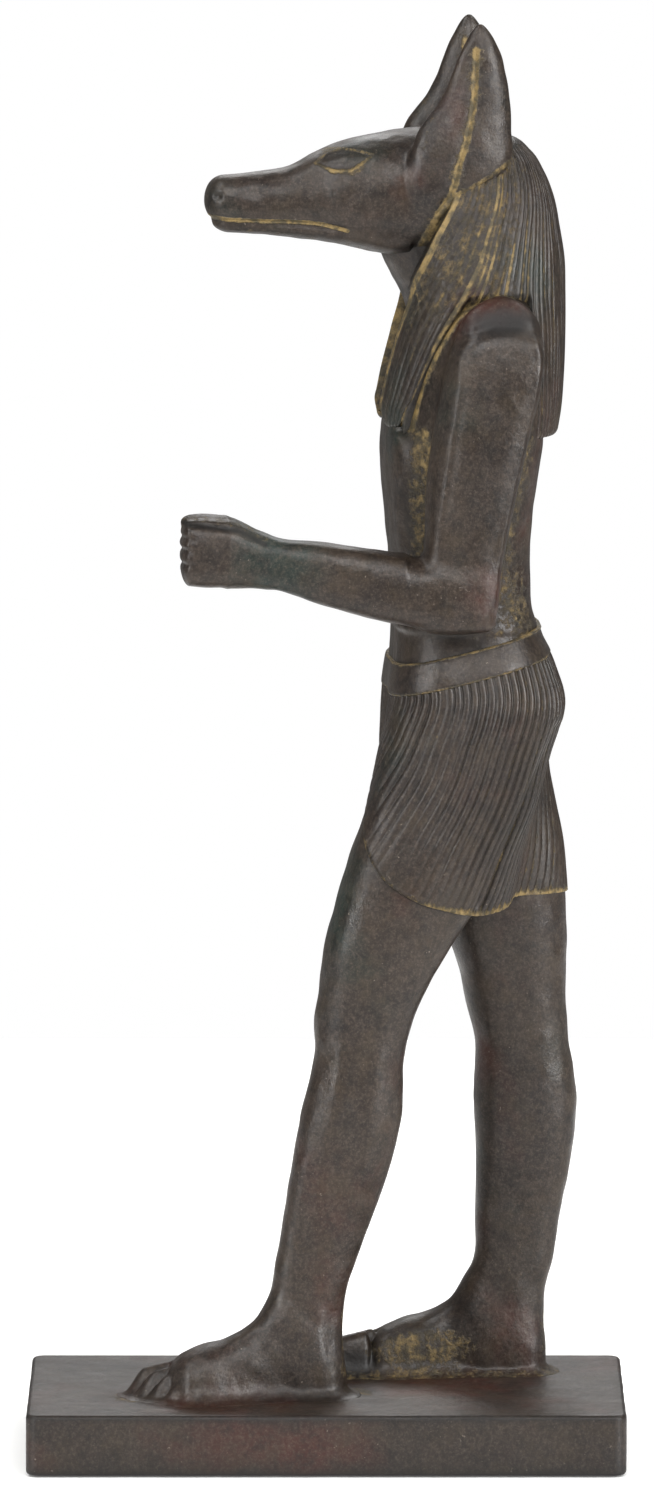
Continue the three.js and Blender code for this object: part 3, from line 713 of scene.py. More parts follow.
for bone in ((-5.2, 8.0, 11), (-5.0, 3.0, 8)):
    dent(body, (-8, -2, 3), (-3, 14, 18), -0.25, bone, (1.5, 1.6, 2.2))
KNEECAP = (3.2, 2.3, 3.2)
dent(body, (0, -24, 36), (13, -8, 60), -0.5, (6.3, -18.5, 47.8), KNEECAP)
dent(body, (-14, -4, 36), (0, 12, 60), -0.5, (-7, 2, 47.8), KNEECAP)

# %% [markdown]
# ## The head
#
# The head is a long wedge with a separate lower jaw. The details are pressed into it afterwards:
# the mouth is a shallow channel, the eye a raised rim round a lens shape, and each ear is a leaf
# with a crease down its outer face.

# %% Skull, jaw and ears
RIGHT_EAR = [(a, low, high, half, -middle) for a, low, high, half, middle in EAR]
head.add(HEAD, ahead, 0.9, square=2.5, end=2.4)
head.add(LOWER_JAW, ahead, 0.35, square=2.8, end=2.2)
for ear in (EAR, RIGHT_EAR):
    head.add(ear, upright, 1.2, square=1.9, start=1.5, end=5)
print("the ears end", EAR[-1][0] + PLINTH_HEIGHT, "mm above the table")

# %% The mouth: a channel along the lip, open towards the nose
LIP = through(
    [(13.6, 146.5), (16.4, 147.0), (20.1, 147.35), (25.1, 147.5), (28.9, 147.6), (32.5, 147.9)]
)
LIP_HALF, MOUTH_DEPTH = 0.42, 0.3


def mouth(x, y, z):
    (middle,) = LIP(-y)
    up = z - middle
    over_jaw = smooth_step(up, -2.5 * LIP_HALF, 0)
    inside = over_jaw * (1 - smooth_step(up, LIP_HALF - 0.15, LIP_HALF + 0.2))
    return MOUTH_DEPTH * inside * smooth_step(-y, 13.8, 15.2) + 0 * x


head.press((-7, -34, 144), (7, -13, 150), mouth)
print("the mouth is", 2 * LIP_HALF, "mm high and", MOUTH_DEPTH, "mm deep")

# %% The eye: a lens shape with a raised rim, on both sides
EYE_MIDDLE = (14.7, 155.55)
EYE_TILT = math.radians(-9.8)
# Half the eye's length and height, then how high its rim and ball stand and how deep the groove is
EYE_LONG, EYE_HIGH = 3.3, 1.1
EYE_RIM, EYE_BALL, EYE_GROOVE = 0.11, 0.13, 0.08


def eye(x, y, z):
    forward, up = -y - EYE_MIDDLE[0], z - EYE_MIDDLE[1]
    u = forward * math.cos(EYE_TILT) + up * math.sin(EYE_TILT)
    v = -forward * math.sin(EYE_TILT) + up * math.cos(EYE_TILT)
    radius = (EYE_LONG**2 + EYE_HIGH**2) / (2 * EYE_HIGH)
    shift = radius - EYE_HIGH
    edge = np.maximum(np.hypot(u, v - shift), np.hypot(u, v + shift)) - radius
    rim = EYE_RIM * np.exp(-(((edge - 0.22) / 0.35) ** 2))
    ball = EYE_BALL * smooth_step(-edge, 0.15, 1.0)
    groove = EYE_GROOVE * np.exp(-(((edge + 0.1) / 0.25) ** 2))
    return (groove - rim - ball) * smooth_step(np.abs(x), 2.0, 3.0)


head.press((-9, -20.5, 152), (9, -9, 159.5), eye)
print("each eye is", 2 * EYE_LONG, "by", 2 * EYE_HIGH, "mm")

# %% The nostrils and the dimple behind them
for side in (1, -1):
    low, high = (side * 3 - 3, -34, 148), (side * 3 + 3, -23, 154)
    dent(head, low, high, 0.5, (side * 3.1, -30.3, 150.9), (1.2, 0.5, 0.38))
    dent(head, low, (high[0], -22, high[2]), 0.18, (side * 3.7, -26.2, 151.4), (1.5, 1.5, 0.7))

# %% The ear's crease and hollow
CREASE = through([
    (146, -4.9), (149.2, -3.4), (151, -2.1), (152.9, -1.45), (155.4, -0.8),
    (157.9, 0), (160.4, 0.6), (163.5, 1.1), (169.3, 1.4), (172.5, 1.6),
])
CREASE_DEPTH = 0.75


def crease(x, y, z):
    """Deepest on the line, rising slowly in front of it and steeply behind."""
    (line,) = CREASE(z)
    in_front = CREASE_DEPTH * np.exp(-np.maximum(line - y, 0) / 1.7)
    behind = CREASE_DEPTH * np.exp(-np.maximum(y - line, 0) / 0.4)
    depth = np.where(y < line, in_front, behind)
    fade = smooth_step(z, 148, 151) * (1 - smooth_step(z, 168, 171))
    return depth * fade * smooth_step(np.abs(x), 7.2, 8.2)


head.press((-11, -8, 147), (11, 7, 172.5), crease)
print("the ears' creases are", CREASE_DEPTH, "mm deep")

# %% [markdown]
# ## Feet that grow out of the plinth
#
# In a casting the sole never meets the plinth at a knife edge: a little fillet runs round it.
# The field gets that fillet by blending the feet with a floor plane and then cutting the plane
# away a short distance from the foot.

# %% The fillet round each foot
FILLET = 2.6
SKIRT = 2.3
SUNK = 0.04
for where, shape in FEET.values():
    height = body.grids[2][where[2]].reshape(1, 1, -1) + SUNK
    skirt = np.maximum(soft_min(shape, height + 0 * shape, FILLET), shape - SKIRT)
    body.field[where] = np.minimum(body.field[where], skirt)
print("the fillets reach", SKIRT, "mm out from the feet")

# %% The unevenness of a face that was rubbed down by hand
def waves(x, y, z, size):
    """A smooth unevenness between -1 and 1 with humps about size mm wide."""
    k = 3.0 / size
    a = np.sin(k * x + 0.7 * np.sin(k * 0.6 * z)) * np.sin(k * 0.8 * y + 1.3)
    b = np.sin(k * 1.3 * z + 0.9 * np.sin(k * 0.7 * y + 2)) * np.sin(k * 0.9 * x + 0.4)
    return 0.5 * (a + b)


def hand_rubbed(x, y, z):
    return 0.07 * waves(x, y, z, 3.2) + 0.04 * waves(y, z, x, 1.5)


for block in (body, head):
    lowest, past_highest = [g[0] for g in block.grids], [g[-1] + 1 for g in block.grids]
    block.press(lowest, past_highest, hand_rubbed)
# The lowest two layers are outside everywhere, so that the mesh is closed under the feet
body.field[:, :, :2] = np.maximum(body.field[:, :, :2], 0.3)

# %% [markdown]
# ## From the field to a mesh
#
# The surface is where the field is zero. Every small cell of the grid that the surface crosses
# gets one vertex, at the average of the crossings on its edges, and each crossed edge joins the
# four cells round it with one face. This is known as surface nets; it gives an even, closed mesh.

# %% Surface nets
def surface_net(block):
    """The vertices and four-sided faces of the surface where a block's field is zero."""
    field, grids = block.field, block.grids
    inside = field < 0
    shape = np.array(field.shape)
    strides = np.array([shape[1] * shape[2], shape[2], 1])
    cell_lists, point_lists, flips = [], [], []
    for axis in range(3):
        low, high = [slice(None)] * 3, [slice(None)] * 3
        low[axis], high[axis] = slice(None, -1), slice(1, None)
        found = np.argwhere(inside[tuple(low)] != inside[tuple(high)])
        step = np.zeros(3, int)
        step[axis] = 1
        a = field[tuple(found.T)]
        b = field[tuple((found + step).T)]
        share = a / (a - b)
        points = np.stack([grids[i][found[:, i]] for i in range(3)], 1)
        grid = grids[axis]
        points[:, axis] += share * (grid[found[:, axis] + 1] - grid[found[:, axis]])
        u, v = np.roll(np.arange(3), -axis)[1:]
        corners = []
        for du, dv in ((0, 0), (-1, 0), (-1, -1), (0, -1)):
            cell = found.copy()
            cell[:, u] += du
            cell[:, v] += dv
            corners.append(cell @ strides)
        cell_lists.append(np.stack(corners, 1))
        point_lists.append(points)
        flips.append(a > 0)
    cells = np.concatenate(cell_lists)
    points = np.repeat(np.concatenate(point_lists), 4, axis=0)
    names, index = np.unique(cells.ravel(), return_inverse=True)
    count = np.bincount(index)
    vertices = np.stack([np.bincount(index, points[:, i]) / count for i in range(3)], 1)
    faces = index.reshape(-1, 4)
    flip = np.concatenate(flips)
    faces[flip] = faces[flip][:, ::-1]
    return vertices, faces.tolist()


body_net, head_net = surface_net(body), surface_net(head)
print("faces in the nets:", len(body_net[1]), "and", len(head_net[1]))

# %% Making a mesh object in the scene's own space
def make_piece(name, vertices, faces):
    mesh = bpy.data.meshes.new(name)
    mesh.from_pydata(vertices.tolist(), [], faces)
    mesh.transform(STANCE)
    mesh.update()
    mesh.shade_smooth()
    piece = bpy.data.objects.new(name, mesh)
    bpy.context.scene.collection.objects.link(piece)
    return piece


def thin_out(piece, most_triangles):
    """Collapses the faces that matter least until the mesh is light enough."""
    triangles = sum(len(p.vertices) - 2 for p in piece.data.polygons)
    if triangles > most_triangles:
        modifier = piece.modifiers.new("thin_out", "DECIMATE")
        modifier.ratio = most_triangles / triangles
        held = bpy.context.evaluated_depsgraph_get()
        lighter = bpy.data.meshes.new_from_object(piece.evaluated_get(held))
        piece.modifiers.clear()
        piece.data = lighter
        lighter.shade_smooth()
    return piece


FIGURE_TRIANGLES, HEAD_TRIANGLES = 190_000, 150_000
figure = thin_out(make_piece("figure", *body_net), FIGURE_TRIANGLES)
jackal_head = thin_out(make_piece("jackal_head", *head_net), HEAD_TRIANGLES)
print("faces kept:", len(figure.data.polygons), "and", len(jackal_head.data.polygons))

# %% [markdown]
# ## The wig
#
# The wig is a smooth cap that falls in two lappets over the chest and a panel down the back, cut
# all over with narrow grooves that leave strands about a millimetre wide. A grid of points laid
# along the strands draws such grooves far more crisply than the field could: six points across
# each strand, and rings at many heights.

# %% The wig's outline by height
# Height, front, back, half width; then in degrees from straight ahead its front edge, the outer
# edge of the lappet and the near edge of the back panel
WIG = [
    (120.9, -10.2, 12.3, 11.8, 15.5, 39, 124),
    (123.9, -10.5, 12.8, 12.0, 15.5, 44, 124),
    (127.7, -9.9, 13.1, 12.3, 16.5, 52, 122),
    (133.7, -8.4, 13.3, 12.5, 21, 66, 121),
    (138.7, -7.4, 13.3, 12.1, 33, 80, 120),
    (142.7, -8.4, 13.2, 11.5, 49, 89, 122),
    (146.6, -8.6, 12.6, 10.9, 59, 95, 126),
    (150.6, -8, 11.8, 10.1, 69, 102, 131),
    (153.6, -7, 10.6, 9.2, 73, 105, 134),
    (156.2, -5, 8.9, 7.6, 75, 106, 136),
    (157.9, -3, 6.6, 4.8, 75, 108, 138),
    (158.8, 0.5, 3.5, 1.2, 75, 110, 140),
]
WIG_AXIS = 2.0
WIG_SQUARE = 2.3

# %% The strands on one side of the wig, from the face to the middle of the back
LAPPET_STRANDS, SIDE_STRANDS, BACK_STRANDS = 7, 8, 15
STRANDS = LAPPET_STRANDS + SIDE_STRANDS + BACK_STRANDS
# Places across one strand: its crown, its shoulders and the groove after it
STRAND_POINTS = np.array([0, 0.24, 0.36, 0.5, 0.64, 0.76])
STRAND_DEPTH = 0.26
# For every point on the way: its strand's number, its place across it and its share of the groove
STRAND = np.repeat(np.arange(STRANDS), len(STRAND_POINTS))
ACROSS = np.tile(STRAND_POINTS, STRANDS)
IN_GROOVE = np.clip(1 - np.abs(ACROSS - 0.5) / 0.26, 0, 1)


def strand_wear(z):
    """How much of each groove rubbing has left, from a third to all, wandering along the strand."""
    left = 0.5 + 0.5 * np.sin(7.7 * STRAND + 0.23 * z + np.sin(0.5 * z + STRAND))
    return 0.3 + 0.7 * left * smooth_step(STRAND, -2, 8)


print("strands round the wig:", 2 * STRANDS)

# %% One ring of the wig
SHOULDER_TOP, SHOULDER_FADE, SIDE_RECESS = 139.0, 2.4, 1.8
THROAT_RECESS = 2.6


def round_the_wig(side):
    """One side's values, from the face to the back, and then the other side's back to the face."""
    return np.concatenate([side, side[-2:0:-1]])


def wig_ring(z, numbers):
    """The points round the wig at one height, as x and y."""
    front, back, half, edge, lappet, panel = numbers
    hidden = np.clip((SHOULDER_TOP - z) / SHOULDER_FADE, 0, 1)
    sectors = [
        (edge, lappet, LAPPET_STRANDS, 0),
        (lappet, panel, SIDE_STRANDS, SIDE_RECESS * hidden),
        (panel, 180, BACK_STRANDS, 0),
    ]
    degrees, sunk = [], []
    for first, last, strands, recess in sectors:
        share = (np.arange(strands)[:, None] + STRAND_POINTS).ravel() / strands
        degrees.append(first + (last - first) * share)
        near_end = np.minimum(share, 1 - share) * strands
        sunk.append(recess * np.clip(near_end / 0.2, 0, 1))
    degrees, sunk = np.concatenate(degrees), np.concatenate(sunk)
    sway = 0.35 * np.sin(0.31 * z + 2.1 * STRAND) * np.clip(degrees / 20 - 1, 0, 1)
    degrees = degrees + sway * np.clip((180 - degrees) / 5, 0, 1)
    s, c = np.sin(np.radians(degrees)), np.cos(np.radians(degrees))
    depth = np.where(c > 0, WIG_AXIS - front, back - WIG_AXIS)
    radius = ((s / half) ** WIG_SQUARE + (np.abs(c) / depth) ** WIG_SQUARE) ** (-1 / WIG_SQUARE)
    fade = np.clip((159.5 - z) / 6, 0.1, 1)
    radius = radius - STRAND_DEPTH * fade * IN_GROOVE * strand_wear(z) - sunk
    x, y = s * radius, WIG_AXIS - c * radius
    tuck = THROAT_RECESS * hidden
    inner_x = np.array([0.0, 0.93 * x[0]])
    inner_y = np.array([y[0] + tuck, y[0] + tuck])
    side_x = np.concatenate([inner_x, x, [0.0]])
    side_y = np.concatenate([inner_y, y, [back]])
    return np.concatenate([side_x, -side_x[-2:0:-1]]), round_the_wig(side_y)


# %% The wax on the wig
def groove_wax(z):
    """The wax round one ring: every groove has its own share, which changes slowly along it."""
    own = 0.5 + 0.5 * np.sin(STRAND * 12.9898 + 0.35 * z * (0.4 + 0.2 * np.sin(STRAND * 4.1)))
    above_shoulder = smooth_step(STRAND, 6, 7) * (1 - smooth_step(STRAND, 11, 13))
    above_shoulder = above_shoulder * math.exp(-(((z - 141.5) / 3.5) ** 2))
    side = IN_GROOVE * (0.1 + 0.9 * own**3 + above_shoulder * own)
    side = side * (0.45 + 0.55 * smooth_step(STRAND, 5, 8))
    outer_edge = np.where(STRAND == LAPPET_STRANDS - 1, 0.6 * (ACROSS > 0.4), 0)
    edge = np.where(STRAND == 0, 0.8, 0) + outer_edge
    haze = 0.42 * (1 - smooth_step(STRAND, 9, 15)) * smooth_step(z, 126, 140)
    return round_the_wig(np.concatenate([[0, 0], side + edge + haze, [0]]))


# %% [markdown]
# ## Skins of rings
#
# The wig, kilt, belt, tab and plinth are all skins: rings of equally many points, one above the
# other, with four-sided faces between them and a fan of triangles at each end. So one function
# closes them all, and each piece only has to say where its rings run.

# %% Rings of points to one closed skin
def closed_skin(rings):
    """Rings of equal length, given as (count, points, 3), closed by a fan at each end."""
    count, around = rings.shape[:2]
    vertices = np.concatenate([rings.reshape(-1, 3), rings[:1].mean(1), rings[-1:].mean(1)])
    here = np.arange(count * around).reshape(count, around)
    after = np.roll(here, -1, axis=1)
    quads = np.stack([here[:-1], after[:-1], after[1:], here[1:]], -1).reshape(-1, 4)
    bottom = np.stack([np.full(around, count * around), after[0], here[0]], 1)
    top = np.stack([np.full(around, count * around + 1), here[-1], after[-1]], 1)
    return vertices, quads.tolist() + bottom.tolist() + top.tolist()


# %% The wig
LAPPET_SHORT, LAPPET_ROUNDING = 1.2, 1.2


def wig_skin():
    at = through(WIG)
    low, high = WIG[0][0], WIG[-1][0]
    run = np.arange(low + 1.2, high - 1.2, 0.45)
    crown = high - np.array([1.2, 0.8, 0.5, 0.25, 0])
    heights = np.concatenate([[low, low + 0.15, low + 0.5], run, crown])
    rings, wax = [], []
    across = (np.arange(LAPPET_STRANDS)[:, None] + STRAND_POINTS).ravel() / LAPPET_STRANDS
    rounded = LAPPET_SHORT + LAPPET_ROUNDING * (2 * np.abs(across - 0.5)) ** 4
    level = np.zeros((SIDE_STRANDS + BACK_STRANDS) * len(STRAND_POINTS))
    lappet_lift = round_the_wig(np.concatenate([[0, 0], rounded, level, [0]]))
    for z in heights:
        x, y = wig_ring(z, [float(v) for v in at(np.array(z))])
        ring = np.stack([x, y, np.full_like(x, z)], 1)
        wax.append(groove_wax(z))
        tuck = np.clip((low + 0.5 - z) / 0.5, 0, 1)
        from_middle = np.maximum(np.hypot(ring[:, 0], ring[:, 1]), 1)[:, None]
        ring[:, :2] -= tuck**2 * 0.25 * ring[:, :2] / from_middle
        ring[:, 2] += lappet_lift * np.clip((low + 5 - z) / 5, 0, 1)
        rings.append(ring)
    vertices, faces = closed_skin(np.array(rings))
    return vertices, faces, np.concatenate([*wax, [0, 0]])


wig_vertices, wig_faces, wig_wax = wig_skin()
wig = make_piece("wig", wig_vertices, wig_faces)
print("wig faces:", len(wig.data.polygons))

# %% [markdown]
# ## The kilt and belt
#
# The kilt wraps both thighs, so its shape follows from theirs: from the kilt's middle a feeler
# moves inwards in every direction until it meets the softly joined thighs and hips, and the cloth
# lies just under half a millimetre outside. Grooves between the pleats run from belt to hem.

# %% How far the body reaches under the cloth
THIGHS = form(LEFT_LEG, LEG_SQUARE), form(RIGHT_LEG, LEG_SQUARE)
TRUNK = form(TORSO, TRUNK_SQUARE)
KILT_BLEND = 3.5
HEM_LEVEL = 62.2
# Heights of the belt's lower and upper edge, in front and at the back
BELT_FRONT, BELT_BACK = (88.5, 92.4), (93.8, 97.4)
FARTHEST, FEELER_STEP = 24.0, 0.5


def axis_y(z):
    """The kilt's middle, which leans back towards the belt."""
    return -0.6 + 2.2 * (z - HEM_LEVEL) / (BELT_FRONT[0] - HEM_LEVEL)


def under_cloth(x, y, z):
    legs = soft_min(THIGHS[0](x, z, y), THIGHS[1](x, z, y), KILT_BLEND)
    return soft_min(legs, TRUNK(x, z, y), KILT_BLEND)


def feel_inwards(degrees, z):
    """How far the body reaches from the kilt's middle, by steps and then by halving."""
    s, c = np.sin(np.radians(degrees)), np.cos(np.radians(degrees))
    high = np.full_like(degrees, FARTHEST)
    for _ in range(44):
        r = high - FEELER_STEP
        high = np.where(under_cloth(s * r, axis_y(z) - c * r, z) > 0, r, high)
    low = high - FEELER_STEP
    for _ in range(9):
        middle = (low + high) / 2
        out = under_cloth(s * middle, axis_y(z) - c * middle, z) > 0
        high, low = np.where(out, middle, high), np.where(out, low, middle)
    return low


# %% A table of reaches, looked up between its entries, stands in for feeling each time
REACH_STEP = 0.5
REACH_Z = np.arange(HEM_LEVEL - 3, 101, REACH_STEP)
REACH_TURN = np.arange(-180, 181, 1.0)
REACH = feel_inwards(*[grid.copy() for grid in np.meshgrid(REACH_TURN, REACH_Z)])
print("the body reaches up to", round(float(REACH.max()), 1), "mm from the kilt's middle")


def body_reach(degrees, z):
    turn = (np.asarray(degrees) + 180) % 360
    i = np.clip(turn.astype(int), 0, 359)
    up = np.clip((z - REACH_Z[0]) / REACH_STEP, 0, len(REACH_Z) - 1.001)
    j = up.astype(int)
    a, b = turn - i, up - j
    low = REACH[j, i] * (1 - a) + REACH[j, i + 1] * a
    high = REACH[j + 1, i] * (1 - a) + REACH[j + 1, i + 1] * a
    return low * (1 - b) + high * b


def round_kilt(degrees, z, radius):
    """Points at a distance from the kilt's middle, as x, y, z."""
    s, c = np.sin(np.radians(degrees)), np.cos(np.radians(degrees))
    return np.stack([s * radius, axis_y(z) - c * radius, z], -1)


# %% Where the belt runs
def on_belt(degrees, share):
    """Height on the sloping belt in each direction; share 0 is its lower edge, 1 its upper one."""
    front = BELT_FRONT[0] + (BELT_FRONT[1] - BELT_FRONT[0]) * share
    back = BELT_BACK[0] + (BELT_BACK[1] - BELT_BACK[0]) * share
    z = np.full_like(degrees, front)
    for _ in range(4):
        radius = body_reach(degrees, z)
        y = axis_y(z) - np.cos(np.radians(degrees)) * radius
        z = front + (back - front) * (y + 9) / 21
    return z


# %% The pleats on one side, from the front to the back
# The hem's height by degrees from straight ahead: it rises in two wings towards the front
HEM = through(
    [(0, 79.9), (18, 78.9), (30, 74.4), (40, 70), (50, 66.4), (64, 63.6), (80, 62.2), (180, 62.2)]
)
PLEATS = 40
PLEAT_DEPTH = 0.4
# How far the cloth stands off the body, and how far it still does in the deepest groove
CLOTH, LEAST_CLOTH = 0.45, 0.14
PLEAT_POINTS = np.array([0, 0.25, 0.39, 0.5, 0.61, 0.75])
PLEAT = np.repeat(np.arange(PLEATS), len(PLEAT_POINTS))
IN_PLEAT_GROOVE = np.clip(1 - np.abs(np.tile(PLEAT_POINTS, PLEATS) - 0.5) / 0.27, 0, 1)


def even_directions(z, side):
    """Directions from front to back on one side that share the girth evenly between pleats."""
    fine = side * np.linspace(0, 180, 181)
    line = round_kilt(fine, np.full(181, z), body_reach(fine, np.full(181, z)))
    run = np.concatenate([[0], np.cumsum(np.linalg.norm(np.diff(line, axis=0), axis=1))])
    share = ((np.arange(PLEATS)[:, None] + PLEAT_POINTS).ravel()) / PLEATS
    return np.interp(share * run[-1], run, fine * side) * side


def pleat_wear(degrees, level):
    """How deep each groove still is; the front is worn more than the back, most at the hem."""
    left = 0.5 + 0.5 * np.sin(5.3 * PLEAT + 4.5 * level + 1.5 * np.sin(7 * level + PLEAT))
    behind = smooth_step(np.abs(degrees), 70, 110)
    front = (0.25 + 0.6 * left) * (1 - 0.6 * smooth_step(level, 0.5, 1)) * (1 - behind)
    return front + behind * (0.7 + 0.3 * left)


print("pleats round the kilt:", 2 * PLEATS)

# %% One half of one ring of the kilt, with its wax
BUTTOCK_FOLD = [(11.6, 84.5), (9.4, 79.5), (6.6, 73.5), (4.5, 69.3), (1.8, 62.4)]
FOLD_DEPTH = 0.55
HEM_TURNS = {side: even_directions(HEM_LEVEL, side) for side in (1, -1)}


def half_ring(level, side):
    """level runs from 0 under the belt to 1 at the hem."""
    typical = BELT_FRONT[1] + (HEM_LEVEL - BELT_FRONT[1]) * level
    degrees = even_directions(typical, side)
    (hem,) = HEM(np.abs(HEM_TURNS[side]))
    z = on_belt(degrees, 0.5) * (1 - level) + hem * level
    groove = PLEAT_DEPTH * pleat_wear(degrees, level) * IN_PLEAT_GROOVE
    radius = body_reach(degrees, z) + np.maximum(CLOTH - groove, LEAST_CLOTH)
    if side > 0:
        y = axis_y(z) - np.cos(np.radians(degrees)) * radius
        fold = FOLD_DEPTH * near_line(y, z, BUTTOCK_FOLD, 0.7)
        radius = radius - fold * smooth_step(degrees, 60, 80)
    own = 0.5 + 0.5 * np.sin(PLEAT * 7.31 * (1.3 + side) + 5 * level)
    held = 0.2 + 0.5 * smooth_step(np.abs(degrees), 95, 140)
    return round_kilt(degrees, z, radius), IN_PLEAT_GROOVE * (0.25 + 0.75 * own) * held


# %% The kilt
# The hem is turned under in three rings: how far inwards and down each lies
HEM_TURN_UNDER = [(0.12, 0.12), (0.5, 0.16), (1.6, 0)]


def whole_ring(halves):
    """The left half from front to back, then the right half from back to front."""
    return np.concatenate([halves[0], halves[1][:0:-1]])


def kilt_skin():
    hem_turns = np.abs(whole_ring([HEM_TURNS[1], HEM_TURNS[-1]]))
    hem_wax = 0.5 + 0.6 * smooth_step(hem_turns, 62, 85)
    rings, wax = [], []
    for level in np.linspace(0, 1, 56):
        points, held = zip(*[half_ring(level, side) for side in (1, -1)])
        rings.append(whole_ring(points))
        wax.append(whole_ring(held) + hem_wax * smooth_step(level, 0.97, 1.0))
    hem = rings[-1]
    inward = hem - np.array([0, axis_y(HEM_LEVEL), 0])
    inward[:, 2] = 0
    inward /= np.linalg.norm(inward, axis=1)[:, None]
    rings += [hem - inwards * inward - (0, 0, down) for inwards, down in HEM_TURN_UNDER]
    wax += [wax[-1]] * len(HEM_TURN_UNDER)
    vertices, faces = closed_skin(np.array(rings))
    return vertices, faces, np.concatenate([*wax, [0, 0]])


kilt_vertices, kilt_faces, kilt_wax = kilt_skin()
kilt = make_piece("kilt", kilt_vertices, kilt_faces)
print("kilt faces:", len(kilt.data.polygons))

# %% The belt: a flat band with softened edges
BELT_RISE = 0.14
# What the belt's upper edge stands off the bare body; its lower edge lies on the cloth
BELT_ON_SKIN = 0.2
# Up the belt: the share of its width, and how far out, where 1 is its face
BELT_PROFILE = [
    (0, -1.6), (0, 0.0), (0.03, 0.7), (0.12, 1.0), (0.5, 1.05),
    (0.88, 1.0), (0.97, 0.7), (1, 0.0), (1, -1.6),
]


def belt_skin():
    degrees = np.arange(0, 360, 1.5)
    rings = []
    for share, out in BELT_PROFILE:
        z = on_belt(degrees, share)
        under = CLOTH + (BELT_ON_SKIN - CLOTH) * share
        rise = out * BELT_RISE + under if out >= 0 else out
        uneven = 0.07 * waves(degrees / 6, z, 0 * z, 2.5)
        rings.append(round_kilt(degrees, z, body_reach(degrees, z) + rise + uneven))
    vertices, faces = closed_skin(np.array(rings))
    wax = np.repeat([0.75 if out < 0.9 else 0 for _, out in BELT_PROFILE], len(degrees))
    return vertices, faces, np.concatenate([wax, [0, 0]])


belt_vertices, belt_faces, belt_wax = belt_skin()
belt = make_piece("belt", belt_vertices, belt_faces)
print("belt faces:", len(belt.data.polygons))

# %% The tab that hangs in front, between the kilt's two wings
TAB = [
    (66.7, -9.0, -4, 3.4, 0),
    (76.8, -9.3, -4, 3, 0),
    (85, -9.0, -4, 2.5, 0),
    (89.8, -8.6, -4, 2.2, 0),
]
TAB_SQUARE, TAB_RIB, TAB_RIB_DEPTH = 3.4, 0.9, 0.12


def tab_skin():
    at = through(TAB)
    turn = np.radians(np.arange(0, 360, 5))
    c, s = np.cos(turn), np.sin(turn)
    power = 2 / TAB_SQUARE
    rings = []
    for z in np.linspace(TAB[0][0], TAB[-1][0], 40):
        low, high, half, _ = [float(v) for v in at(np.array(z))]
        x = half * np.sign(c) * np.abs(c) ** power
        y = (low + high) / 2 + (high - low) / 2 * np.sign(s) * np.abs(s) ** power
        ribbed = y + TAB_RIB_DEPTH * (0.5 + 0.5 * np.cos(2 * np.pi * x / TAB_RIB))
        y = np.where(y < (low + high) / 2, ribbed, y)
        rings.append(np.stack([x, y, np.full_like(x, z)], 1))
    return closed_skin(np.array(rings))


tab = make_piece("kilt_tab", *tab_skin())
print("tab faces:", len(tab.data.polygons))

# %% [markdown]
# ## The plinth
#
# The plinth is a plain slab. What tells it from a box is that it was cast: its corners are
# rounded, its edges are soft, and its top is not quite flat. A bevelled box would keep its faces
# flat, so the plinth is a skin of rings too: up its sides, and then inwards over its top.

# %% The plinth
PLINTH_EDGE = 0.55


def plinth_outline(inset):
    """Points round the slab, with rounded corners, drawn in by inset mm."""
    radius = PLINTH_CORNER
    turn = np.radians(np.linspace(0, 90, 7))
    corners = []
    for quarter, (sx, sy) in enumerate([(1, 1), (-1, 1), (-1, -1), (1, -1)]):
        centre = np.array([sx * (PLINTH_WIDTH / 2 - radius), sy * (PLINTH_LENGTH / 2 - radius)])
        a = turn + quarter * math.pi / 2
        corners.append(centre + (radius - inset) * np.stack([np.cos(a), np.sin(a)], 1))
    points = []
    for arc, following in zip(corners, corners[1:] + corners[:1]):
        run = np.linspace(0, 1, 26)[1:-1, None]
        points += [arc, arc[-1] * (1 - run) + following[0] * run]
    return np.concatenate(points)


def plinth_skin():
    edge = PLINTH_EDGE
    turns = np.radians(np.linspace(0, 90, 6))
    round_over = [(edge * (1 - math.sin(a)), edge * (1 - math.cos(a))) for a in turns]
    sides = [(round_over[-1][0], z) for z in np.arange(edge + 0.6, PLINTH_HEIGHT - edge - 0.3, 0.6)]
    profile = round_over + sides + [(inset, PLINTH_HEIGHT - z) for inset, z in round_over[::-1]]
    loops = []
    for inset, z in profile:
        line = plinth_outline(inset)
        x, y = line.T
        hollow = 0.1 + 0.05 * waves(x, y, z, 9) + 0.05 * waves(y, z, x, 4)
        loops.append(np.column_stack([line * (1 - hollow[:, None] / 25), np.full(len(line), z)]))
    rim = plinth_outline(edge)
    for share in np.linspace(0.97, 0.03, 26):
        line = rim * share
        x, y = line.T
        dip = 0.05 + 0.05 * waves(x, y, 3, 8) + 0.02 * waves(y, x, 1, 3)
        loops.append(np.column_stack([line, PLINTH_HEIGHT - dip * min(1, (1 - share) * 12)]))
    return closed_skin(np.array(loops))


plinth = make_piece("plinth", *plinth_skin())
# The plinth stands straight, so it is taken out of the figure's own space again
plinth.data.transform(Matrix.Scale(MM, 4) @ STANCE.inverted())
print("plinth faces:", len(plinth.data.polygons))
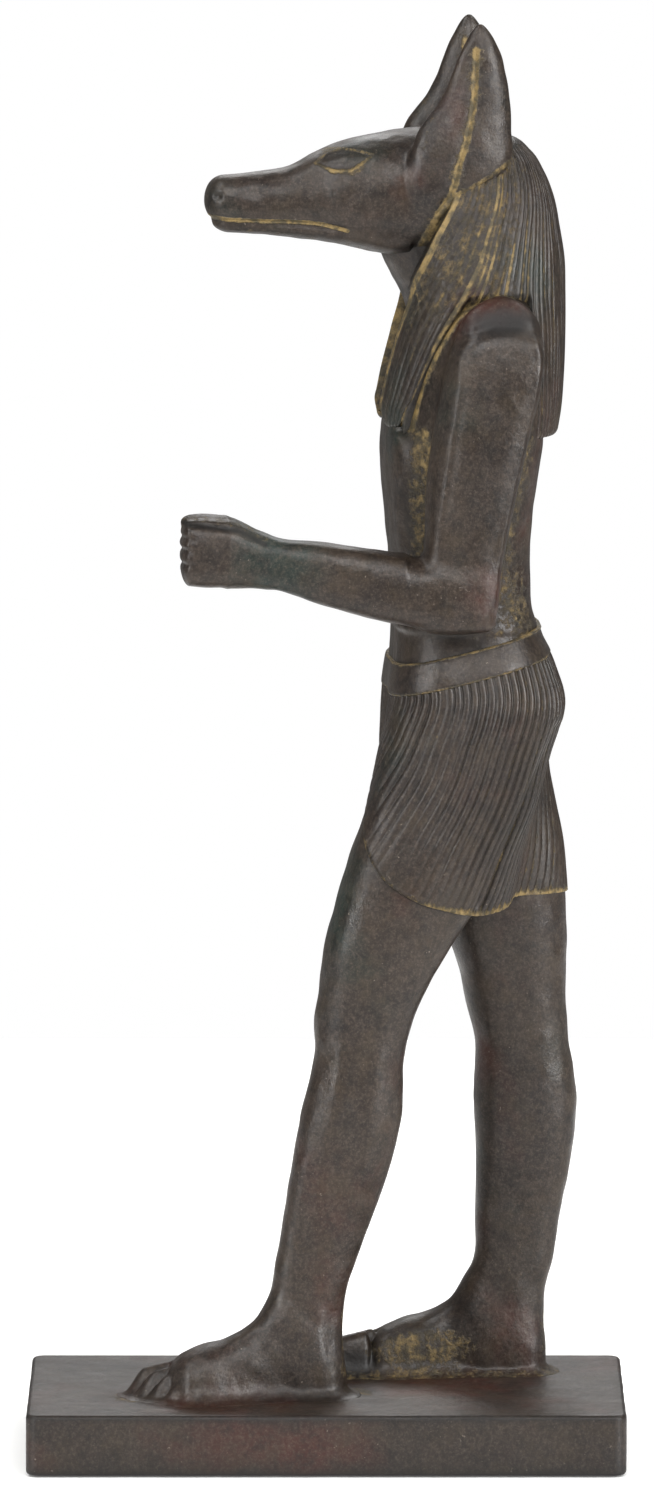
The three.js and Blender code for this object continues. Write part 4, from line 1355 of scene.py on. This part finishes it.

# %% [markdown]
# ## Where the wax stayed and where the tone shifts
#
# The finisher brushes dark bronze paint over the cast, floods it with ochre wax and wipes it: the
# wax stays in grooves and sheltered corners. Hollows are found by the material itself, but the
# places the finisher's cloth missed are not a matter of shape. A painted picture would need the
# figure unwrapped, so they are painted on its vertices: every vertex gets a number for wax, one
# for tone, from greenish (below zero) to reddish (above), and one for shade: painted shade, a
# dark colour put where shade falls, in the shoulder hollows, under the elbow and the thumb, behind
# the kilt and the far leg, round the feet and on the plinth's sides and upper edge.

# %% Wax that the grooves already know about
GROOVE_WAX = {
    "wig": wig_wax,
    "kilt": kilt_wax,
    "belt": belt_wax,
    "kilt_tab": np.zeros(len(tab.data.vertices)),
}
for name, held in GROOVE_WAX.items():
    print("most wax on the", name, round(float(held.max()), 2))

# %% Soft spots and lines to paint with, in the figure's own mm
def spot(points, centre, size):
    """1 at the centre, fading smoothly to 0 at a distance of size along each axis."""
    away = np.linalg.norm((points - np.array(centre)) / np.array(size), axis=1)
    return 1 - smooth_step(away, 0.25, 1.0)


def painted(spots, points):
    """The sum of some spots, each given by its strength, centre and size."""
    return sum(strength * spot(points, centre, size) for strength, centre, size in spots)


def along_line(points, line, width, side=0):
    """1 on a line of (y, z) points drawn on one side, or on both, and 0 beyond width mm."""
    line = np.array(line, float)
    nearest = np.full(len(points), 1e3)
    for a, b in zip(line[:-1], line[1:]):
        step = b - a
        share = np.clip(((points[:, 1:] - a) @ step) / (step @ step), 0, 1)
        away = np.linalg.norm(points[:, 1:] - a - share[:, None] * step, axis=1)
        nearest = np.minimum(nearest, away)
    on_side = smooth_step(points[:, 0] * side, 0, 2) if side else 1
    return (1 - smooth_step(nearest, 0.25 * width, width)) * on_side


def paint(piece, name, values):
    layer = piece.data.attributes.new(name, "FLOAT", "POINT")
    layer.data.foreach_set("value", np.asarray(values, np.float32))


def points_of(piece):
    """A piece's vertices in the figure's own mm."""
    flat = np.empty(len(piece.data.vertices) * 3, np.float32)
    piece.data.vertices.foreach_get("co", flat)
    back = np.array(STANCE.inverted())
    return flat.reshape(-1, 3) @ back[:3, :3].T + back[:3, 3]


# %% The wax lines on the head
MOUTH_LINE = [
    (-31.4, 148.3), (-28.9, 148.0), (-25.1, 147.8), (-20.1, 147.7), (-17.6, 147.5), (-14.4, 146.7)
]
JAW_LINE = [(-27.7, 146.7), (-20.2, 146.0), (-15.2, 145.1), (-9.7, 143.8), (-5.2, 143.2)]
EAR_LINE = [
    (1.4, 169.3), (1.1, 163.5), (0.6, 160.4), (0, 157.9), (-0.8, 155.4), (-1.4, 152.9),
    (-2, 151), (-3.2, 149.2), (-4.5, 146.7), (-5.2, 144.9), (-5.6, 143.4),
]
EAR_FRONT_LINE = [(-2.8, 163.8), (-3.7, 161.6), (-4.8, 159.1), (-5.3, 157.3)]
LOBE_LINE = [(5.5, 155.4), (1.8, 153), (-1.1, 151.4), (-3.2, 149.2)]
EYE_LINE = [
    (-18.2, 155.0), (-16.7, 156.4), (-14.8, 156.8), (-12.9, 156.6), (-11.2, 156.2),
    (-12.7, 155.2), (-14.2, 154.35), (-16, 154.1), (-18.2, 155.0),
]
EYE_UNDERSIDE = [(-16.6, 154.3), (-14.2, 153.9), (-12.4, 154.8)]
# How much wax, along which line, and how wide in mm
HEAD_WAX = [
    (1.4, MOUTH_LINE, 0.42),
    (0.3, JAW_LINE, 0.5),
    (0.65, EYE_LINE, 0.35),
    (0.5, EYE_UNDERSIDE, 0.6),
    (0.9, EAR_LINE, 0.6),
    (0.38, EAR_LINE, 1.8),
    (0.3, EAR_FRONT_LINE, 0.7),
    (0.7, LOBE_LINE, 0.6),
]


def head_wax(points):
    return sum(much * along_line(points, line, width) for much, line, width in HEAD_WAX)


# %% The wax on the body
# Spots, as strength, centre and size: in front of the arm, behind it, at the elbow, at the feet
BODY_WAX = [
    (0.2, (10.5, -3, 127), (4.5, 8, 12)),
    (0.55, (11.5, 6, 120), (5, 5, 18)),
    (0.5, (12, 4, 104), (4, 6, 14)),
    (0.5, (9, 8, 100), (4, 5, 10)),
    (0.62, (-5.2, -4, 3.5), (3, 11, 4.5)),
    (0.2, (-5, 8, 14), (4, 5, 8)),
]
# A painted highlight: pale wax along the top of the left thumb, where light from above falls
THUMB_STRIP_HIGHLIGHT = [(-25.5, 109.5), (-27.3, 110.5), (-29, 111.4), (-35.4, 112.2)]
ACHILLES_LINE = {1: [(-14.9, 3), (-14.7, 11)], -1: [(11.8, 3), (12.2, 10)]}
# Where the near foot meets the plinth; the far one holds wax all along
FOOT_WAX = [(0.6, (6, -14.5, 0), (5, 3.5, 6)), (0.3, (6, -40, 0), (6, 5, 4))]
FAR_FOOT_WAX = 0.85


def body_wax(points):
    x, _, z = points.T
    wax = painted(BODY_WAX, points)
    gutter = along_line(points, CHEST_GUTTER, 2.6, 1)
    gutter += 1.6 * along_line(points, LAPPET_EDGE, 0.8, 1)
    wax += 0.62 * gutter * smooth_step(x, 6, 8) * (1 - smooth_step(x, 13.5, 15.5))
    # The painted highlight on the thumb's top, laid on as pale wax
    wax += 0.4 * along_line(points, THUMB_STRIP_HIGHLIGHT, 0.7, 1)
    for side, line in ACHILLES_LINE.items():
        wax += 0.45 * along_line(points, line, 1.1, side)
    at_the_sole = (z < 3) * (1 - smooth_step(z, 0.1, 1.4))
    return wax + 0.6 * (FAR_FOOT_WAX * (x < 0) + painted(FOOT_WAX, points)) * at_the_sole


# %% The wax and the wear on the plinth
PLINTH_WAX = [
    (0.8, (-8.2, 0, 0), (6.5, 15.5, 4)),
    (0.7, (6, -41, 0), (6, 5, 4)),
    (0.7, (5, -13.5, 0), (5, 4, 4)),
]


def top_edge(piece):
    """1 on the plinth's upper edge, fading within a millimetre."""
    x, y, z = np.array([v.co for v in piece.data.vertices]).T / MM
    inwards = np.minimum(PLINTH_WIDTH / 2 - np.abs(x), PLINTH_LENGTH / 2 - np.abs(y))
    return 1 - smooth_step(np.hypot(inwards, z - PLINTH_HEIGHT), 0.3, 0.9)


# %% The tone and the painted shade, as strength, centre and size of each spot
TONES = [
    (1.0, (13, 3, 138), (8, 9, 6)),
    (0.9, (15, 1, 103), (6, 8, 7)),
    (0.7, (9, 0, 78), (9, 7, 10)),
    (0.6, (6, -16, 14), (7, 8, 6)),
    (0.5, (-7, 5, 40), (6, 7, 12)),
    (0.4, (8, -25, 152), (8, 8, 6)),
    (0.5, (0, -14, -4), (40, 60, 9)),
    (0.3, (0, -8, 25), (16, 24, 35)),
    (-1.0, (14, -24, 107), (6, 14, 9)),
    (-0.9, (5, -9, 122), (8, 6, 14)),
    (-0.8, (-5, 0, 30), (5, 9, 14)),
    (-0.8, (7, -16, 66), (8, 6, 14)),
    (-0.5, (5, -12, 157), (6, 8, 6)),
    (-0.5, (12, 8, 140), (6, 6, 12)),
]
# Painted shade where shade falls: shoulder hollows, under the elbow, behind kilt and far leg, round
# the feet
SHADES = [
    (0.9, (17, 4, 136.2), (4, 7, 2.8)),
    (0.9, (-17, 4, 136.2), (4, 7, 2.8)),
    (0.5, (15, 0, 97), (5, 8, 2.5)),
    (0.35, (8, 6, 76), (9, 9, 14)),
    (0.35, (-8, 8, 45), (7, 8, 32)),
    (0.8, (-6, -12.5, 1.5), (4, 4.5, 3)),
    (0.45, (8, -25, 0), (8, 15, 2.5)),
]
# A painted shadow along the line under the left thumb
THUMB_SHADOW = [(-25.5, 108.9), (-27.3, 109.8), (-29.0, 110.7), (-35.6, 111.5)]
# Painted shade on the plinth: its sides are darker, and most along its upper edge
SIDE_SHADE, EDGE_SHADE = 0.25, 0.6

# %% Paint every piece
PIECES = [figure, jackal_head, wig, kilt, belt, tab, plinth]
for piece in PIECES:
    points = points_of(piece)
    shade = painted(SHADES, points)
    if piece is figure:
        wax = body_wax(points)
        # A painted shadow under the thumb's line
        shade += 0.8 * along_line(points, THUMB_SHADOW, 0.5, 1)
    elif piece is jackal_head:
        wax = head_wax(points)
    elif piece is plinth:
        wax = painted(PLINTH_WAX, points)
        # Painted shade on the plinth's sides and along its upper edge
        shade = SIDE_SHADE * (points[:, 2] < -0.3) + EDGE_SHADE * top_edge(piece)
    else:
        wax = GROOVE_WAX[piece.name]
    for name, values in (("wax", wax), ("tone", painted(TONES, points)), ("shade", shade)):
        paint(piece, name, values)
print("painted vertices:", sum(len(piece.data.vertices) for piece in PIECES))

# %% [markdown]
# ## One material: bronze-powder resin with wax in its hollows
#
# The casting is polyester resin filled with bronze powder, rubbed down and toned with dark wax.
# To the eye it is a dark brown-grey satin, greener where the powder has tarnished, redder where
# it was rubbed, with ochre wax left in every groove. Polyester has an IOR near 1.55 and a rubbed
# surface a roughness near 0.4. Picture textures would show a seam somewhere on a form this
# closed, so the colours are layers over one another, each shown through a mask of noise, paint or
# shelter. Hollows and worn edges are found by ambient occlusion, which looks out of the surface
# for the one and into it for the other. The narrow hollows hold wax; the broad ones are darkened
# as painted shade, and the vertices' shade numbers add more painted shade.

# %% Colours and nodes
def colour(code):
    """An sRGB hex value as the linear colour that the shader wants."""
    parts = [int(code[i : i + 2], 16) / 255 for i in (1, 3, 5)]
    return [p / 12.92 if p <= 0.04045 else ((p + 0.055) / 1.055) ** 2.4 for p in parts] + [1.0]


def add_node(tree, kind, inputs=None, output=0, **settings):
    """Adds one node, sets its settings, links or sets its inputs, and gives one output."""
    made = tree.nodes.new(kind)
    for name, value in settings.items():
        setattr(made, name, value)
    for socket, value in (inputs or {}).items():
        if isinstance(value, bpy.types.NodeSocket):
            tree.links.new(value, made.inputs[socket])
        else:
            value = colour(value) if isinstance(value, str) else value
            made.inputs[socket].default_value = value
    return made.outputs[output] if made.outputs else None


print("dark resin as linear colour:", [round(part, 4) for part in colour("#221a16")])

# %% The noises: the width of their features in mm, their finer octaves, and how strong those are
NOISES = {
    "ground": (9, 3, 0.5),
    "drift": (14, 4, 0.6),
    "mottling": (0.6, 6, 0.75),
    "dark clouds": (2.2, 6, 0.75),
    "specks": (0.45, 2, 0.5),
    "speck fields": (6, 3, 0.5),
    "grain": (0.3, 4, 0.8),
    "brown film": (4, 5, 0.7),
    "wax patches": (0.9, 6, 0.75),
    "wax colour": (1.6, 4, 0.6),
    "wear": (3, 4, 0.6),
    "fine relief": (0.4, 5, 0.65),
    "broad relief": (2.2, 3, 0.5),
    "pits": (0.7, 4, 0.7),
    "gloss": (5, 3, 0.5),
}
# Shelter is 1 in the open and less near a wall; how far each looks in mm, and which way
SHELTERS = {
    # This one only darkens the broad hollows, as painted shade
    "broad hollow shade": (5, {}),
    "narrow hollow": (1.2, {}),
    "edge": (0.7, {"inside": True, "only_local": True}),
}
SHELTER_SAMPLES = 8

# %% The masks: each is worked out from the noises, the paint or the masks above it
OPERATIONS = {
    "times": ("ShaderNodeMath", {"operation": "MULTIPLY"}),
    "plus": ("ShaderNodeMath", {"operation": "ADD"}),
    "clamp": ("ShaderNodeClamp", {}),
    "range": ("ShaderNodeMapRange", {}),
    "rise": ("ShaderNodeMapRange", {"interpolation_type": "SMOOTHSTEP"}),
}
# A result, how it is made and from what: the names of things found before, or plain numbers. A
# result may take over the name of what it was made from
MASKS = [
    ("ground", "rise", "ground", 0.35, 0.65),
    # Tarnish turns it greenish, rubbing reddish; both follow the paint and wander by themselves
    ("drift", "range", "drift", 0.3, 0.7, -0.7, 0.7),
    ("drift", "plus", "tone", "drift"),
    ("reddish", "rise", "drift", 0.15, 1.3),
    ("greenish", "rise", "drift", -0.15, -1.3),
    # Fine mottling of the powder, and pale dust specks half a millimetre wide
    ("mottling", "rise", "mottling", 0.36, 0.76),
    ("dark clouds", "rise", "dark clouds", 0.45, 0.7),
    ("specks", "rise", "specks", 0.7, 0.76),
    ("speck fields", "rise", "speck fields", 0.45, 0.6),
    ("specks", "times", "specks", "speck fields"),
    ("grain", "rise", "grain", 0.5, 0.7),
    ("brown film", "rise", "brown film", 0.46, 0.68),
    # Painted shade: the colour darkens in the broad hollows, where shade falls
    ("broad hollow shade", "rise", "broad hollow shade", 0.9, 0.3),
    # The table shelters the plinth's foot, where no wax stays
    ("off the table", "rise", "height", (PLINTH_HEIGHT + 1) * MM, (PLINTH_HEIGHT + 3) * MM),
    ("narrow hollow", "rise", "narrow hollow", 0.7, 0.35),
    ("narrow hollow", "times", "narrow hollow", 0.5),
    ("narrow hollow", "times", "narrow hollow", "off the table"),
    # Wax in the hollows and where it was painted; a patchy noise decides where it held
    ("waxed", "plus", "narrow hollow", "wax"),
    ("wax patches", "range", "wax patches", 0.25, 0.75, -0.5, 0.5),
    ("waxed", "plus", "waxed", "wax patches"),
    ("waxed", "rise", "waxed", 0.28, 1.05),
    ("wax colour", "rise", "wax colour", 0.4, 0.6),
    # Dark under the painted wax: dirt, and painted shade in recesses such as the chest's gutter
    ("dirt and shade under wax", "times", "wax", 0.7),
    ("dirt and shade under wax", "clamp", "dirt and shade under wax"),
    # Edges worn to a paler bronze
    ("edge", "rise", "edge", 0.62, 0.3),
    ("wear", "rise", "wear", 0.35, 0.6),
    ("worn", "times", "edge", "wear"),
    ("worn", "times", "worn", "off the table"),
    ("pits", "times", "pits", "waxed"),
    # Wax is duller than the rubbed resin, and so are the places with painted shade
    ("gloss", "range", "gloss", 0.3, 0.7, 0.32, 0.48),
    ("dull wax", "times", "waxed", 0.15),
    ("gloss", "plus", "gloss", "dull wax"),
    ("dull painted shade", "times", "shade", 0.2),
    ("gloss", "plus", "gloss", "dull painted shade"),
]

# %% The layers of colour from the bottom up: the mask, its strength and the colour
BASE_COLOUR = "#221a16"
# the ochre layer is wax of the two colours below, in patches; under it lies dark dirt that is
# partly painted shade
LAYERS = [
    ("ground", 1, "#2e251e"),
    ("reddish", 0.9, "#431c12"),
    ("greenish", 0.9, "#1a2b27"),
    ("mottling", 0.42, "#5e5349"),
    ("dark clouds", 0.6, "#0b0908"),
    ("specks", 0.6, "#8d8378"),
    ("grain", 0.2, "#6a6056"),
    ("brown film", 0.25, "#443827"),
    # Painted shade: first from the vertices, then in the broad hollows
    ("shade", 1, "#0b0908"),
    ("broad hollow shade", 0.8, "#0b0907"),
    ("dirt and shade under wax", 1, "#14110b"),
    ("waxed", 0.85, "ochre"),
    ("worn", 0.7, "#5c5045"),
]
WAX_COLOURS = "#907c52", "#564d38"
# The relief that the light shows: which noise, and how deep in mm
RELIEF = [("fine relief", 0.06), ("pits", 0.25), ("broad relief", 0.15)]
RELIEF_STRENGTH = 0.8
RESIN_IOR = 1.55


# %% The bronze-powder resin
def bronze_resin():
    material = bpy.data.materials.new("bronze_powder_resin")
    material.use_nodes = True
    tree = material.node_tree
    tree.nodes.clear()
    place = add_node(tree, "ShaderNodeTexCoord", output="Object")
    found = {"height": add_node(tree, "ShaderNodeSeparateXYZ", {0: place}, "Z")}
    for name in ("wax", "tone", "shade"):
        found[name] = add_node(tree, "ShaderNodeAttribute", output="Fac", attribute_name=name)
    for name, (size, detail, rough) in NOISES.items():
        inputs = {"Vector": place, "Scale": 1 / (size * MM), "Detail": detail, "Roughness": rough}
        found[name] = add_node(tree, "ShaderNodeTexNoise", inputs)
    for name, (reach, way) in SHELTERS.items():
        inputs = {"Distance": reach * MM}
        way = {"samples": SHELTER_SAMPLES, **way}
        found[name] = add_node(tree, "ShaderNodeAmbientOcclusion", inputs, "AO", **way)
    for name, operation, *values in MASKS:
        kind, settings = OPERATIONS[operation]
        inputs = {i: found.get(value, value) for i, value in enumerate(values)}
        found[name] = add_node(tree, kind, inputs, **settings)
    inputs = {0: found["wax colour"], 6: WAX_COLOURS[0], 7: WAX_COLOURS[1]}
    found["ochre"] = add_node(tree, "ShaderNodeMix", inputs, 2, data_type="RGBA")
    metal = BASE_COLOUR
    for mask, strength, over in LAYERS:
        inputs = {0: found[mask], 1: strength}
        shown = add_node(tree, "ShaderNodeMath", inputs, operation="MULTIPLY")
        inputs = {0: shown, 6: metal, 7: found.get(over, over)}
        metal = add_node(tree, "ShaderNodeMix", inputs, 2, data_type="RGBA")
    relief = {}
    for name, depth in RELIEF:
        inputs = {"Height": found[name], "Strength": RELIEF_STRENGTH, "Distance": depth * MM}
        relief = {"Normal": add_node(tree, "ShaderNodeBump", {**inputs, **relief})}
    inputs = {"Base Color": metal, "Roughness": found["gloss"], "IOR": RESIN_IOR, **relief}
    shader = add_node(tree, "ShaderNodeBsdfPrincipled", inputs)
    add_node(tree, "ShaderNodeOutputMaterial", {"Surface": shader})
    return material


resin = bronze_resin()
for piece in PIECES:
    piece.data.materials.append(resin)
print("nodes in the resin:", len(resin.node_tree.nodes))

# %% Attach every piece to the root body, and hide the CAD statuette
for piece in PIECES:
    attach(piece, "root")
    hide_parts("statuette")
print("pieces:", [piece.name for piece in PIECES])

# %% [markdown]
# ## Floor and light
#
# The photograph is a cut-out on white, lit softly from all round. A white floor and a white
# surround give the same. The camera sees the surround at full white, but it lights the figure
# less, so that the lamps can model it. Two tall softboxes left and right of the camera draw the
# long highlights on the arm and shin, broad ones at the camera and on the far side lift the
# shadows, and two small high lights catch the shoulder and the muzzle. The floor glows a little,
# so that it stays white under the figure.

# %% The floor
FLOOR_HALF, FLOOR_DROP, FLOOR_GLOW = 0.32, 0.0002, 0.16
PAPER = "#f6f6f5"


def floor():
    mesh = bpy.data.meshes.new("pale_floor")
    corners = [(FLOOR_HALF * x, FLOOR_HALF * y, 0) for x, y in ((-1, -1), (1, -1), (1, 1), (-1, 1))]
    mesh.from_pydata(corners, [], [(0, 1, 2, 3)])
    plane = bpy.data.objects.new("pale_floor", mesh)
    bpy.context.scene.collection.objects.link(plane)
    material = bpy.data.materials.new("pale_paper")
    material.use_nodes = True
    tree = material.node_tree
    tree.nodes.clear()
    glow = {"Emission Color": PAPER, "Emission Strength": FLOOR_GLOW}
    inputs = {"Base Color": PAPER, "Roughness": 0.9, **glow}
    shader = add_node(tree, "ShaderNodeBsdfPrincipled", inputs)
    add_node(tree, "ShaderNodeOutputMaterial", {"Surface": shader})
    mesh.materials.append(material)
    plane.location.z = -FLOOR_DROP
    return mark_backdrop(plane)


floor()


# %% The surround
SURROUND_LIGHT, SURROUND_SEEN = 0.3, 1.0


def surround():
    world = bpy.data.worlds.new("white_surround")
    world.use_nodes = True
    tree = world.node_tree
    tree.nodes.clear()
    seen = add_node(tree, "ShaderNodeLightPath", output="Is Camera Ray")
    inputs = {0: seen, 3: SURROUND_LIGHT, 4: SURROUND_SEEN}
    strength = add_node(tree, "ShaderNodeMapRange", inputs)
    light = add_node(tree, "ShaderNodeBackground", {"Color": "#ffffff", "Strength": strength})
    add_node(tree, "ShaderNodeOutputWorld", {"Surface": light})
    bpy.context.scene.world = world


surround()

# %% The lamps: place in m, width and height in m, and power in W
LAMPS = {
    "back_softbox": ((0.7, 0.9, 0.4), (0.12, 0.8), 14.0),
    "front_softbox": ((0.7, -0.9, 0.4), (0.12, 0.8), 8.0),
    "camera_softbox": ((1.3, 0, 0.9), (0.8, 0.6), 12.0),
    "far_side_softbox": ((-1.3, 0, 0.9), (0.8, 0.6), 5.5),
    "high_back_light": ((-0.1, 0.6, 1.0), (0.3, 0.3), 3.0),
    "high_front_light": ((0.2, -0.6, 1.0), (0.3, 0.3), 3.5),
}
LAMPS_LOOK_AT = Vector((0, 0, 0.1))

for name, (place, size, power) in LAMPS.items():
    data = bpy.data.lights.new(name, "AREA")
    data.shape = "RECTANGLE"
    data.size, data.size_y = size
    data.energy = power
    lamp = bpy.data.objects.new(name, data)
    lamp.location = place
    lamp.rotation_euler = (LAMPS_LOOK_AT - Vector(place)).to_track_quat("-Z", "Y").to_euler()
    bpy.context.scene.collection.objects.link(lamp)
print("lamps:", list(LAMPS))

# %% How the picture is developed: a gamma below 1 keeps the dark resin dark
bpy.context.scene.view_settings.view_transform = "Standard"
bpy.context.scene.view_settings.gamma = 0.84
